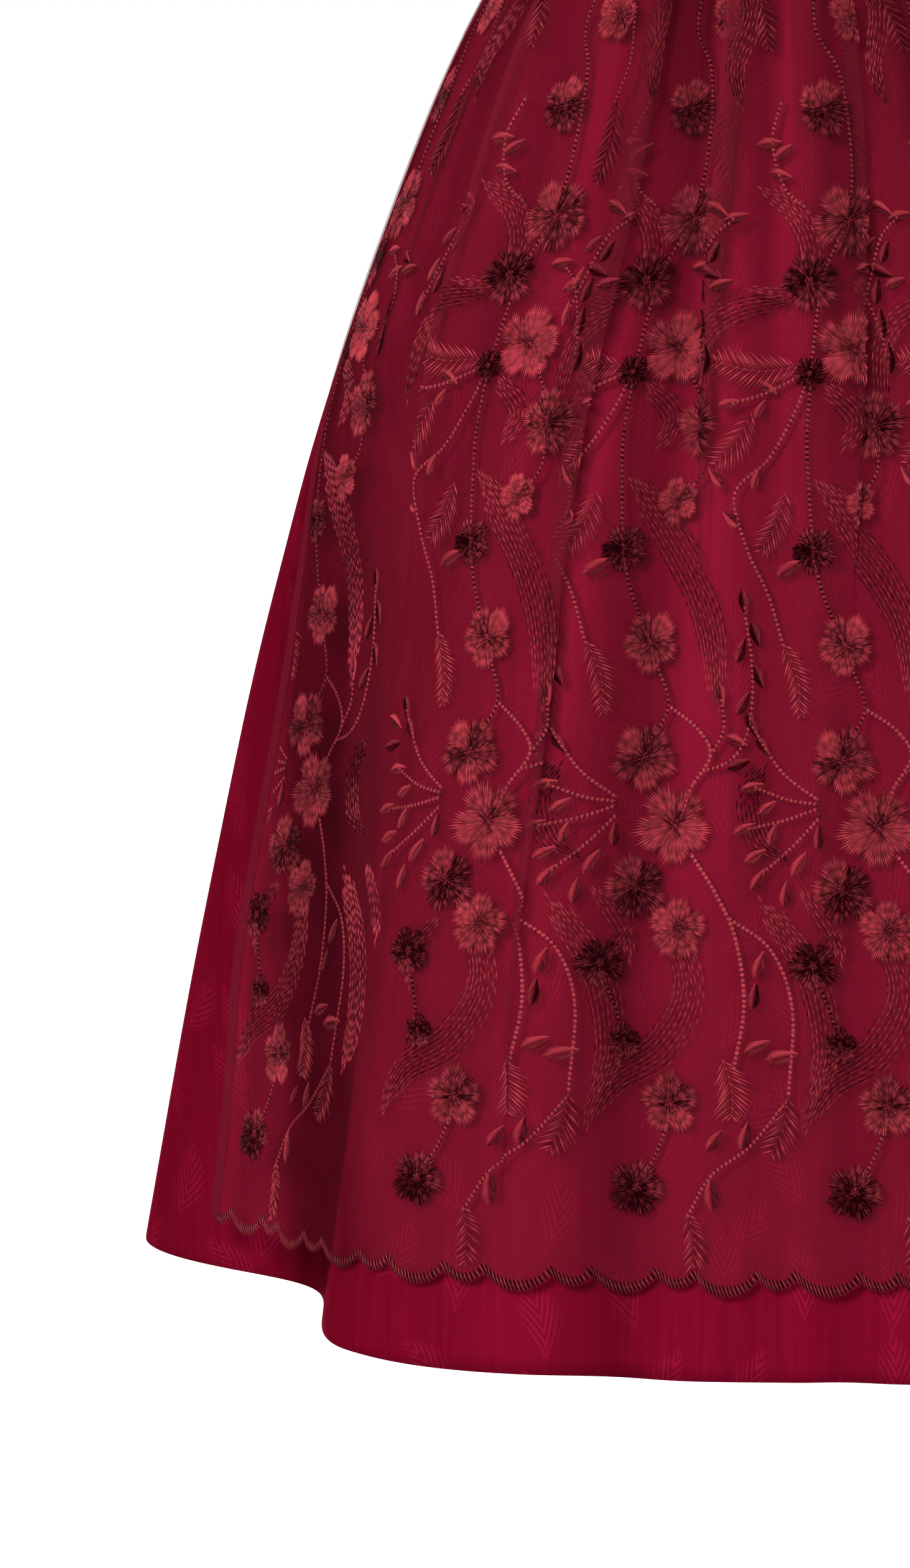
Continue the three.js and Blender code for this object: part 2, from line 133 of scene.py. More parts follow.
BODICE_SECTIONS = named_rows(
    "level half_width front back",
    (0, 125, 97, 97), (60, 127, 101, 96), (120, 135, 111, 101), (180, 144, 118, 107),
    (230, 147, 116, 109), (280, 142, 108, 106), (330, 134, 98, 100))
CUP = {"angle": 35, "level": 182, "reach": 60, "height": 17}
BODICE_TOP = named_rows(
    "angle level",
    (0, 226), (20, 231), (33, 262), (36, 268), (54, 270), (64, 240), (76, 219), (90, 213),
    (104, 224), (120, 276), (126, 308), (146, 314), (156, 300), (180, 294))
BODICE_PANELS = named_rows(
    "node from to flat area",
    ("bodice_front_right", 0, 36, (0.105, 0.27), 0.0205),
    ("bodice_side_right", 36, 102, (0.155, 0.28), 0.036),
    ("bodice_back", 102, 258, (0.31, 0.315), 0.088),
    ("bodice_side_left", -102, -36, (0.155, 0.28), 0.036),
    ("bodice_front_left", -36, 0, (0.105, 0.27), 0.0205))
STRAP_FLAT = (0.040, 0.36)
STRAP = {"front_from": 37, "front_to": 53, "back_from": 128, "back_to": 145,
         "inset": 1.1, "tucked": 5}
SHOULDER = {"level": 402, "across": 92, "half_width": 19, "fall": 10, "run": 34, "dip": 15}
CHEST = {"level": 330, "depth": 71}
PLACKET = {"half_angle": 5.5, "lift": 1.5, "foot": 0.167}
BUTTONS = 6
BUTTON_STEPS = ((0.16, -0.0007), (0.22, 0.0004), (0.25, -0.0005))
BAND = {"lift": 1.45, "radius": 0.115}
BAND_STRETCHES = named_rows(
    "node from to flat rests_on",
    ("apron_band", -88, 88, (0.352, 0.036), "skirt_front_satin"),
    ("apron_tie_left", -176, -88.14, (0.172, 0.036), "skirt_back_satin"),
    ("apron_tie_right", 88.14, 176, (0.172, 0.036), "skirt_back_satin"))
KNOT = {"width": 30, "depth": 14, "height": 38, "level": 17, "clear": 2.1}
LOOP = {"length": 93.5, "bulge": 15.5, "narrow": 0.35, "width": 34, "droop": 2}
TAIL = {"width": 38, "offset": 20, "slant": 36, "length": 330, "lift": 2.2, "ripple": 3, "waves": 5}

# Machine stitches and stitch points in metres; woven pattern in cells and metres
STITCH_SINK = 0.0001
THREAD_SHADE = 0.45
# Painted light and shade on each stitch: its four foot points darker and its top point lighter
STITCH_LIGHT_AND_SHADE = (-0.12, -0.18, -0.12, -0.18, 0.12)
TOPSTITCH = {"pitch": 0.0034, "length": 0.0026, "width": 0.0006, "height": 0.00035, "tone": 0.35}
STREAKS_PER_METRE = (260, 10, 1)
LEAF = {"scatter": 0.75, "swing": 1.9, "least_turn": 0.6, "bend": 0.4, "half_width": 0.24,
        "edge": 9.0, "slant": 2.1, "barbs": 48.0}

# Hand stitches in millimetres and radians; lengths and widths of petals are shares of their size
PETAL = {"swell": 1.27, "root": 0.56, "rim": 0.68, "ragged": 0.30, "thread": 0.95}
PETAL_RINGS = named_rows(
    "from to count shade",
    (0.58, 1.02, 19, 0.12), (0.30, 0.74, 15, 0.0), (0.12, 0.44, 10, -0.22))
# Wide flat stitches under each petal, made darker as a painted shadow in the gaps
SHADE_PADDING = {"aside": 0.36, "length": 0.72, "shade": -0.42, "least_width": 3, "height": 0.3}
KNOTS = {"count": 12, "turn": 2.4, "reach": 0.16, "length": 0.13}
CORD = {"pitch": 1.25, "length": 2.9, "slant": 0.5, "swell": 1.6, "light": 0.20, "dark": -0.30}
FEATHER = {"pitch": 1.9, "slant": 0.80, "thread": 1.0, "fullness": 0.62, "long": 1.12,
           "short": 0.84, "reach": 1.45, "bow": 0.08}
ALMOND = {"count": 13, "swell": 1.4, "width": 0.30, "slant": 0.55, "thread": 0.85, "shade": 0.28}
SWEEP = {"pitch": 0.5, "glint": 0.16, "shade": 0.2, "thread": 0.80, "fullness": 0.58,
         "frayed_top": 0.13, "frayed_foot": 0.22}
BORDER = {"pitch": 0.62, "cusp": 2.2, "inset": 2.2, "slant": 0.5, "length": 5.2, "thread": 1.1,
          "tones_and_light": (0.50, -0.10, -0.16)}

# One repeat of the embroidery: millimetres across to -X and down from the band, and a share from 0 to
# 1 that runs from shaded to lit thread, holding random differences together with painted light and
# shade
MOTIF_COLUMNS = [-370, -263, -156, -49, 58, 165, 312]
MOTIF_TOP_DRIFT = 11
MOTIF_STRAIGHT_FROM = 220
MOTIF_FLOWERS = named_rows(
    "across down radius tone",
    (-12, 36, 11, 0.55), (10, 80, 12, 0.45), (0, 133, 15.5, 0.60), (21, 163, 12.5, 0.22),
    (0, 195, 15.5, 0.70), (22, 207, 7, 0.12), (-20, 232, 14.5, 0.55), (-9, 268, 9.5, 0.66),
    (17, 291, 10, 0.12), (0, 336, 13, 0.68), (1, 391, 14.5, 0.48), (-17, 423, 17, 0.64),
    (2, 453, 13.5, 0.38), (-20, 472, 12.5, 0.62), (18, 489, 10.5, 0.16), (6, 527, 7, 0.12),
    (-16, 556, 12.5, 0.56), (1, 597, 11.5, 0.20))
MOTIF_STEMS = named_rows(
    "tone wide path",
    (0.3, 1.25, [(4, 3), (10, 40), (0, 62), (-2, 100), (0, 130)]),
    (0.3, 1.25, [(2, 135), (14, 162), (21, 205), (23, 236), (21, 262), (18, 290)]),
    (0.25, 1.25, [(18, 292), (11, 314), (0, 336)]),
    (0.25, 1.25, [(0, 197), (-12, 214), (-20, 231)]),
    (0.3, 1.25, [(-20, 234), (-21, 253), (-10, 267)]),
    (0.55, 1.25, [(22, 206), (47, 217), (64, 221)]),
    (0.5, 1.25, [(22, 207), (31, 228), (43, 248), (60, 264), (54, 289), (42, 312), (33, 338)]),
    (0.3, 1.25, [(-3, 345), (-11, 366), (-1, 384)]),
    (0.6, 1.4, [(-11, 366), (-28, 377), (-35, 389), (-25, 405), (-20, 420)]),
    (0.45, 1.25, [(-30, 397), (-46, 391), (-55, 377), (-57, 352), (-52, 318)]),
    (0.45, 1.25, [(-36, 388), (-42, 376), (-40, 362)]),
    (0.55, 1.25, [(14, 410), (33, 397), (50, 375)]), (0.5, 1.25, [(14, 412), (30, 410), (48, 404)]),
    (0.5, 1.25, [(14, 414), (32, 420), (52, 424)]), (0.5, 1.25, [(13, 418), (27, 432), (44, 446)]),
    (0.6, 1.5, [(-26, 436), (-40, 455), (-50, 476), (-54, 508), (-48, 540)]),
    (0.6, 1.3, [(-46, 466), (-68, 482), (-78, 510), (-75, 552)]),
    (0.5, 1.25, [(-75, 553), (-56, 575), (-36, 590), (-24, 610)]),
    (0.1, 1.25, [(18, 492), (10, 512), (6, 526)]), (0.35, 1.25, [(-18, 558), (-8, 582), (1, 596)]),
    (0.35, 1.25, [(-24, 30), (-30, 55), (-22, 78)]),
    (0.4, 1.25, [(-30, 200), (-28, 185), (-20, 166), (-8, 156)]),
    (0.4, 1.25, [(88, 180), (80, 160), (72, 142), (60, 132)]),
    (0.5, 1.25, [(34, 76), (40, 96), (34, 118), (22, 128)]))
MOTIF_LEAVES = named_rows(
    "start end width tone",
    ((28, 204), (70, 201), 15, 0.66), ((52, 226), (70, 250), 13, 0.55),
    ((33, 264), (46, 292), 13, 0.58), ((33, 336), (23, 370), 11, 0.62),
    ((-43, 534), (-47, 562), 15, 0.66), ((-75, 552), (-66, 580), 13, 0.45),
    ((-24, 608), (-27, 634), 10, 0.5), ((-24, 76), (-20, 116), 15, 0.18),
    ((50, 20), (40, 52), 11, 0.35))
MOTIF_BUDS = named_rows(
    "across down length turn tone",
    (70, 256, 8, 2.2, 0.6), (49, 257, 8, 1.2, 0.6), (62, 276, 8, 2.4, 0.55),
    (30, 300, 12, 0.5, 0.6), (64, 221, 8, 0.2, 0.65), (48, 224, 7, 1.0, 0.6),
    (44, 214, 8, -0.6, 0.6), (50, 374, 9, -1.1, 0.15), (58, 382, 9, -0.4, 0.5),
    (44, 384, 8, -0.9, 0.25), (57, 393, 9, 0.3, 0.2), (49, 404, 9, 0.2, 0.6),
    (41, 414, 8, 0.6, 0.65), (53, 424, 9, 0.4, 0.6), (38, 427, 8, 1.2, 0.6),
    (47, 437, 9, 0.5, 0.65), (45, 448, 9, 0.9, 0.55), (31, 455, 9, 1.4, 0.5),
    (24, 441, 10, 1.0, 0.65), (14, 428, 8, 1.5, 0.35), (-52, 316, 9, -1.4, 0.15),
    (-58, 331, 9, -1.2, 0.15), (-50, 339, 9, 1.2, 0.2), (-60, 351, 9, -1.1, 0.15),
    (-52, 364, 9, 1.0, 0.3), (-40, 360, 8, -1.4, 0.5), (-32, 158, 10, -0.4, 0.18),
    (-18, 166, 9, 0.5, 0.6), (-8, 156, 9, 0.2, 0.55), (-40, 164, 9, 0.3, 0.5),
    (-29, 184, 11, 1.5, 0.12), (-31, 200, 11, 1.5, 0.12), (60, 132, 9, 0.2, 0.5),
    (70, 128, 9, -0.5, 0.55), (80, 146, 9, 0.7, 0.5), (71, 149, 8, 1.1, 0.2),
    (85, 163, 9, 1.2, 0.55), (78, 168, 9, 1.3, 0.2), (88, 180, 9, 1.5, 0.5),
    (42, 97, 10, 0.1, 0.65), (34, 101, 9, 0.6, 0.6), (36, 112, 9, -0.2, 0.6),
    (-62, 489, 10, 1.2, 0.55), (-59, 504, 9, 1.4, 0.2), (-72, 533, 12, 0.2, 0.65),
    (-60, 528, 10, 0.4, 0.6), (-38, 573, 9, 0.9, 0.45), (-36, 599, 12, 1.6, 0.5),
    (-53, 571, 10, 1.3, 0.45))
MOTIF_PLUMES = named_rows(
    "width tone down_phase path",
    (17, 0.52, 0.1, [(20, 254), (-5, 283), (-24, 308), (-34, 332), (-39, 374)]),
    (13, 0.62, 0.0, [(50, 116), (28, 130), (19, 151), (31, 168), (56, 166)]),
    (11, 0.48, 0.6, [(30, 172), (62, 178), (79, 195), (83, 232)]),
    (16, 0.48, 0.9, [(-14, 464), (-26, 500), (-12, 529), (13, 547), (28, 576)]),
    (9, 0.46, 0.3, [(2, 470), (16, 490), (14, 510)]),
    (15, 0.58, 0.1, [(-62, 456), (-88, 494), (-94, 530), (-84, 562)]),
    (8, 0.58, 0.1, [(-84, 452), (-100, 476), (-104, 492)]),
    (11, 0.58, 0.2, [(16, 212), (-1, 228), (7, 246)]),
    (12, 0.42, 0.5, [(-40, 8), (-56, 32), (-46, 60), (-52, 84)]),
    (12, 0.26, 0.4, [(-66, 392), (-56, 408), (-62, 430), (-78, 440)]))

# Studio, in metres
CAMERA_PLACE = (0.0, -3.0, 0.095)
CAMERA_TARGET = (-0.158, 0.0, -0.437)
CAMERA_LENS = 136.2
SOFT_LIGHT = 0.34
FLOOR_LEVEL = -1.05
LIGHTS_TARGET = (0, 0, -0.3)
STUDIO_LIGHTS = named_rows(
    "name place size watts",
    ("Key", (-1.5, -3.4, 1.5), 1.1, 136), ("Fill", (2.6, -2.6, 0.8), 2.5, 25),
    ("Overhead", (0.2, 0.6, 3.6), 3.5, 120), ("Back", (0.8, 3.4, 2.0), 2.4, 70))

def size_of(name, description, default):
    return FloatProperty(name=name, description=description, default=default, unit="LENGTH")


def colour_of(name, description, *linear):
    return FloatVectorProperty(name=name, description=description, size=3, subtype="COLOR",
                               default=linear)


class DressSizes(bpy.types.PropertyGroup):
    """Sizes that change the cloth's build"""

    satin_thickness: size_of("Satin thickness", "Wall of the satin", 0.0007)
    net_thickness: size_of("Net thickness", "Wall of the tulle", 0.0003)
    stitch_height: size_of("Stitch height", "Height of one embroidery stitch", 0.0006)
    seed: IntProperty(name="Seed", description="Start of the stitches' unevenness", default=7)


class DressColours(bpy.types.PropertyGroup):
    """Colours of the cloths and threads, in linear light"""

    satin: colour_of("Satin", "Skirt and bodice satin", 0.178, 0.0026, 0.0180)
    satin_leaves: colour_of("Woven leaves", "Paler leaves woven into the satin", 0.245, 0.0056, 0.0285)
    net: colour_of("Net", "Tulle of the apron", 0.235, 0.0140, 0.0300)
    thread: colour_of("Thread", "Lit embroidery thread", 0.520, 0.0560, 0.0780)
    thread_in_shade: colour_of("Deep thread", "Shaded embroidery thread", 0.016, 0.0006, 0.0022)
    button: colour_of("Button", "Buttons of the front closure", 0.210, 0.012, 0.030)


def sizes():
    return bpy.context.scene.dirndl_sizes


def colours():
    return bpy.context.scene.dirndl_colours


# Surfaces of the cloths

def read_table(table, name, level):
    """A smooth curve through a table's rows, read at an array of levels."""
    rows = sorted(table, key=lambda row: row["level"])
    levels, values = (np.array([row[key] for row in rows], float) for key in ("level", name))
    last = len(rows) - 1
    low = np.maximum(np.arange(last + 1) - 1, 0)
    high = np.minimum(np.arange(last + 1) + 1, last)
    slopes = (values[high] - values[low]) / (levels[high] - levels[low])
    at = np.clip(level, levels[0], levels[-1])
    index = np.clip(np.searchsorted(levels, at, side="right") - 1, 0, last - 1)
    span = levels[index + 1] - levels[index]
    t = (at - levels[index]) / span
    rise = t * t * (3 - 2 * t)
    leave = t * (1 - t) ** 2 * span * slopes[index]
    arrive = t * t * (t - 1) * span * slopes[index + 1]
    return values[index] * (1 - rise) + values[index + 1] * rise + leave + arrive


def bump(x):
    return np.where(np.abs(x) < 1, np.cos(np.pi / 2 * np.clip(x, -1, 1)) ** 2, 0.0)


def oval_radius(angle, half_width, half_depth):
    turn = np.radians(angle)
    return 1 / np.hypot(np.sin(turn) / half_width, np.cos(turn) / half_depth)


def on_body(angle, radius, level):
    """Points in metres from angles in degrees, radii and levels in millimetres."""
    turn, radius, level = np.broadcast_arrays(np.radians(angle), radius, level)
    return np.stack([-radius * np.sin(turn), -radius * np.cos(turn), level], -1) * MM


def angle_between(one, other):
    return (one - other + 540) % 360 - 180


def skirt_base(angle, level):
    return oval_radius(angle, read_table(SKIRT_SECTIONS, "half_width", level),
                       read_table(SKIRT_SECTIONS, "half_depth", level))


def skirt_folding(angle, level, valley_share):
    """How far the large folds stand out; the valleys keep only the given share of their depth."""
    total = 0
    for fold in SKIRT_FOLDS:
        t = np.clip((fold["start"] - level) / (fold["start"] - FULL_HEM), 0, 1)
        share = valley_share if fold["height"] < 0 else 1
        size = fold["height"] * share * t * (2 - t)
        total = total + size * bump(angle_between(angle, fold["angle"]) / fold["spread"])
    return total


def soft_hollow(angle, level):
    """How deep the cloth lies in the shallow troughs between the front's folds, from 0 to 1; it dents
    the cloth and also sets painted shade.
    """
    total = 0
    fading = 0.65 + 0.35 * np.exp(level / TROUGH["fade"])
    for soft in SOFT_HOLLOWS:
        lean = soft["angle"] * (1 - level / FULL_HEM * TROUGH["lean"])
        total = total + soft["deep"] * fading * bump(angle_between(angle, lean) / soft["spread"])
    return total


def gather_run(angle):
    """Where the long soft valleys below the waist's gathers lie, from 0 to 1."""
    turn = np.radians(angle)
    return (1 + np.cos(turn * VALLEYS["count"] + VALLEYS["sway"] * np.sin(2 * turn))) / 2


def fold_shade(angle, level, hollow):
    """How deep in the shadow of a fold the cloth lies, from 0 to 1: the amount of painted shade that
    darkens its colour.
    """
    total = soft_hollow(angle, level)
    for fold in SKIRT_FOLDS:
        if fold["height"] < -SHADOW["least_depth"]:
            start = fold["start"] + SHADOW["lead"]
            t = np.clip((start - level) / (start - FULL_HEM), 0, 1)
            outward = np.sign(angle_between(fold["angle"], 0)) * np.sign(90 - abs(fold["angle"]))
            shift = hollow["aside"] * fold["spread"] + hollow["drift"] * (level - MIDDLE_LEVEL)
            inside = angle_between(angle, fold["angle"] + outward * shift)
            dark = SHADOW["contrast"] * bump(inside / (hollow["reach"] * fold["spread"]))
            strength = min(1, -fold["height"] / SHADOW["full_depth"])
            total = total + strength * np.clip(SHADOW["growth"] * t, 0, 1) * np.clip(dark, 0, 1)
    gathers = np.exp(level / SHADOW["gather_fade"]) * gather_run(angle) ** 2.5
    return np.clip(total + SHADOW["gathers"] * gathers, 0, 1)


def skirt_radius(angle, level):
    """The skirt's smooth form with its gathers and the soft unevenness of hanging cloth."""
    turn = np.radians(angle)
    free = 1 - np.exp(level / SEWN_HEIGHT)
    uneven = 0.65 + 0.35 * np.sin(3 * turn + 0.6) * np.sin(5 * turn + 1.9)
    wave = (1 + np.cos(turn * GATHERS["count"] + GATHERS["sway"] * np.sin(3 * turn))) / 2
    gather = GATHERS["depth"] * np.exp(level / GATHERS["fade"]) * uneven * wave
    valleys = VALLEYS["depth"] * np.exp(level / VALLEYS["fade"]) * gather_run(angle)
    troughs = TROUGH["depth"] * soft_hollow(angle, level)
    drape = (1 + np.sin(turn * DRAPE["count"] + level / DRAPE["slant"])) / 2
    drape = DRAPE["depth"] * np.clip(-level / DRAPE["full"], 0, 1) * drape
    hanging = skirt_base(angle, level) + skirt_folding(angle, level, 1)
    return hanging - (gather + valleys + troughs) * free - drape


def pleat_overlap(pleat, down):
    """Overlap of one pleat of the net at a depth below the band, in millimetres."""
    fading = np.clip(1 - down / pleat["open"], 0, 1)
    held = np.minimum(1, PLEAT_TOP["held"] * fading)
    return pleat["overlap"] * held * np.clip(down / PLEAT_TOP["opens"] + PLEAT_TOP["least"], 0, 1)


def sewn_at(pleat):
    """Where a pleat's turn lies across the flat net, so that it hangs at its place on the body."""
    hidden = sum(2 * other["overlap"] for other in APRON_PLEATS)
    place = pleat["across"] * (2 * APRON_HALF_WIDTH - hidden) / 2
    for other in APRON_PLEATS:
        if other is not pleat:
            place += other["overlap"] * (1 if other["across"] < pleat["across"] else -1)
    return place


def scallop_phase(across):
    """The share of a pair of scallops that lies before a place, for places from -1 to 1 across."""
    return (across + 1) / 2 * SCALLOP_PAIRS % 1


def scallop_drop(across):
    """How far the scalloped hem falls below its cusps."""
    phase = scallop_phase(across)
    large, small = SCALLOPS
    in_large = phase < large["share"]
    t = np.where(in_large, phase / large["share"], (phase - large["share"]) / small["share"])
    drop = np.where(in_large, large["drop"], small["drop"])
    return drop * np.sin(np.pi * np.clip(t, 0, 1)) ** 0.75


def apron_surface(cloth_across, down_share, shade=False):
    """The net's place for flat cloth coordinates: millimetres across, share of the length down.

    With shade it gives the painted shade of each place instead: how deep in a fold's hollow it lies,
    and more where a pleat lays the net double.
    """
    across = cloth_across / APRON_HALF_WIDTH
    down = down_share * APRON_LENGTH
    shift = full_shift = layer = ridge = pleat_shade = 0
    for pleat in APRON_PLEATS:
        overlap = pleat_overlap(pleat, down)
        sewn = sewn_at(pleat)
        local = (cloth_across - sewn) * pleat["turn"]
        shift = shift + pleat["turn"] * 2 * (np.clip(local, 0, overlap) - overlap / 2)
        full_shift = full_shift + 2 * overlap
        present = np.clip(overlap / 3, 0, 1)
        # Painted shade: the net is darkened where a pleat lays it double
        pleat_shade = pleat_shade + NET["pleat_shade"] * present * (np.abs(local - overlap / 2) < 1.5 * overlap)
        top = np.clip((local + overlap + NET["slope"]) / NET["slope"], 0, 1) * (local < 0)
        middle = 0.5 * ((local >= 0) & (local < overlap))
        layer = layer + NET["layer"] * present * (top + middle)
        fading = np.clip(1 - down / pleat["fade"], 0, 1)
        hump = bump((across - sewn / APRON_HALF_WIDTH) / (pleat["spread"] * 1.5))
        ridge = ridge + pleat["ridge"] * np.clip(down / NET["ridge_full"], 0, 1) * fading * hump
    place = (cloth_across - shift) / (2 * APRON_HALF_WIDTH - full_shift) * 2
    side = np.abs(across)
    hem = APRON_HEM_FRONT + (APRON_HEM_SIDE - APRON_HEM_FRONT) * side ** 3
    near_hem = np.clip(1 - (1 - down_share) / NET["scalloped"], 0, 1) ** 1.5
    level = APRON_TOP + (hem - APRON_TOP) * down_share - scallop_drop(across) * near_hem
    angle = np.clip(place, -1, 1) * read_table(APRON_EDGES, "half_angle", level)
    if shade:
        return np.clip(fold_shade(angle, level, NET_HOLLOW) + pleat_shade, 0, 1)
    gather = np.exp(-down / NET["gather_fade"]) * (1 - np.cos(np.pi * APRON_GATHERS * across))
    flutter = np.sin(across * 21 + 2.2 * np.sin(across * 7))
    flutter = flutter * np.clip(down / NET["flutter_full"], 0, 1)
    lift = layer + ridge + NET["gather"] * gather + NET["flutter"] * flutter
    base = skirt_base(angle, level)
    cloth = base + skirt_folding(angle, level, APRON_BRIDGING)
    hollowed = base + skirt_folding(angle, level, 1) - skirt_radius(angle, level)
    near_side = np.clip((side - NET_SIDES["from"]) / NET_SIDES["over"], 0, 1)
    away = 1 - NET_SIDES["closer"] * near_side
    pull = np.clip((1 - away) * (1 + level / NET_SIDES["follow_fade"]), 0, 1)
    radius = cloth + (APRON_STANDOFF + lift) * away - pull * hollowed
    return on_body(angle, radius, level)


def bodice_oval(angle, level):
    half_width, front, back = (read_table(BODICE_SECTIONS, name, level)
                               for name in ("half_width", "front", "back"))
    depth = np.where(np.cos(np.radians(angle)) > 0, front, back)
    return oval_radius(angle, half_width, depth)


def bodice_radius(angle, level):
    oval = bodice_oval(angle, level)
    sideways = np.radians(np.abs(angle_between(angle, 0)) - CUP["angle"]) * oval
    return oval + CUP["height"] * bump(np.hypot(sideways, level - CUP["level"]) / CUP["reach"])


def bodice_top(angle):
    angles, levels = ([row[key] for row in BODICE_TOP] for key in ("angle", "level"))
    return np.interp(np.abs(angle_between(angle, 0)), angles, levels)


def waist_radius(angle, level):
    flare = skirt_base(angle, np.minimum(level, 0)) - skirt_base(angle, 0.0)
    return bodice_oval(angle, np.maximum(level, 0)) + np.maximum(0, flare)


# Meshes

def clear_selection():
    for piece in bpy.context.selected_objects:
        piece.select_set(False)


def apply_modifier(piece, modifier):
    clear_selection()
    bpy.context.view_layer.objects.active = piece
    piece.select_set(True)
    bpy.ops.object.modifier_apply(modifier=modifier.name)
    piece.select_set(False)


def mesh_object(name, points, faces, material, smooth=True):
    mesh = bpy.data.meshes.new(name)
    mesh.from_pydata([tuple(point) for point in points], [], faces)
    mesh.validate()
    piece = bpy.data.objects.new(name, mesh)
    bpy.context.collection.objects.link(piece)
    mesh.materials.append(bpy.data.materials[material])
    if smooth:
        mesh.shade_smooth()
    return piece


def point_values(piece, name, values):
    """Gives a mesh one number for each point, under a name that its material reads."""
    attribute = piece.data.attributes.new(name, "FLOAT", "POINT")
    attribute.data.foreach_set("value", values.astype(np.float32).ravel())


def grid_faces(rows, columns):
    """Faces of a grid whose rows run down and columns towards larger angles, facing out."""
    corner = (np.arange(rows - 1)[:, None] * columns + np.arange(columns - 1)[None, :]).ravel()
    return np.stack([corner, corner + 1, corner + columns + 1, corner + columns], 1).tolist()


def grid_normals(grid):
    normals = np.cross(np.gradient(grid, axis=1), np.gradient(grid, axis=0))
    return normals / np.linalg.norm(normals, axis=2, keepdims=True)


def cloth_piece(name, grid, flat, material, thickness=None, shade=None):
    """A thin closed wall of cloth from a grid of outer points, with its flat cut as UV map."""
    piece = mesh_object(name, grid.reshape(-1, 3), grid_faces(*grid.shape[:2]), material)
    mesh = piece.data
    layer = mesh.uv_layers.new(name="Cloth")
    corners = np.empty(len(mesh.loops), int)
    mesh.loops.foreach_get("vertex_index", corners)
    uvs = np.stack(flat, -1).reshape(-1, 2)[corners]
    layer.data.foreach_set("uv", uvs.astype(np.float32).ravel())
    # The painted shade of the fold hollows, which the material reads to darken the colour
    if shade is not None:
        point_values(piece, "hollow", shade)
    wall = piece.modifiers.new("Wall", "SOLIDIFY")
    wall.thickness = thickness or sizes().satin_thickness
    wall.offset = -1
    apply_modifier(piece, wall)
    return piece


# Node building

def feed(node, inputs):
    """Links sockets to a node's inputs, and sets its other inputs to numbers and colours."""
    for key, value in inputs.items():
        if isinstance(value, bpy.types.NodeSocket):
            node.id_data.links.new(value, node.inputs[key])
        else:
            node.inputs[key].default_value = value


def add_node(tree, kind, inputs=None, **settings):
    node = tree.nodes.new(kind)
    for name, value in settings.items():
        setattr(node, name, value)
    feed(node, inputs or {})
    return node


def maths(tree, operation, *values, clamp=False):
    """A Math node whose inputs are sockets or numbers; gives its output socket."""
    node = add_node(tree, "ShaderNodeMath", operation=operation, use_clamp=clamp)
    feed(node, dict(enumerate(values)))
    return node.outputs[0]


def vectors(tree, operation, inputs):
    return add_node(tree, "ShaderNodeVectorMath", inputs, operation=operation).outputs[0]


def new_group(name, place, amount, default, output):
    """A group of a vector and a number: gives its tree, both sockets and the node that ends it."""
    tree = bpy.data.node_groups.new(name, "ShaderNodeTree")
    for label, in_out, kind in ((place, "INPUT", "NodeSocketVector"),
                                (amount, "INPUT", "NodeSocketFloat"),
                                (output, "OUTPUT", "NodeSocketFloat")):
        socket = tree.interface.new_socket(label, in_out=in_out, socket_type=kind)
        if label == amount:
            socket.default_value = default
    start = add_node(tree, "NodeGroupInput")
    return tree, *start.outputs[:2], add_node(tree, "NodeGroupOutput")


def group_output(tree, group, inputs):
    node = add_node(tree, "ShaderNodeGroup", node_tree=bpy.data.node_groups[group])
    feed(node, inputs)
    return node.outputs[0]


def weave_group():
    """Fine crossing threads: a height between 0 and 1 over cloth coordinates in metres."""
    tree, cloth, per_metre, end = new_group("Weave", "Cloth", "Threads per metre", 1800.0, "Height")
    parts = add_node(tree, "ShaderNodeSeparateXYZ", {0: cloth})
    waves = []
    for axis in (0, 1):
        count = maths(tree, "MULTIPLY", parts.outputs[axis], per_metre)
        turn = maths(tree, "MULTIPLY", count, 2 * math.pi)
        waves.append(maths(tree, "MULTIPLY_ADD", maths(tree, "SINE", turn), 0.25, 0.25))
    feed(end, {"Height": maths(tree, "ADD", *waves)})


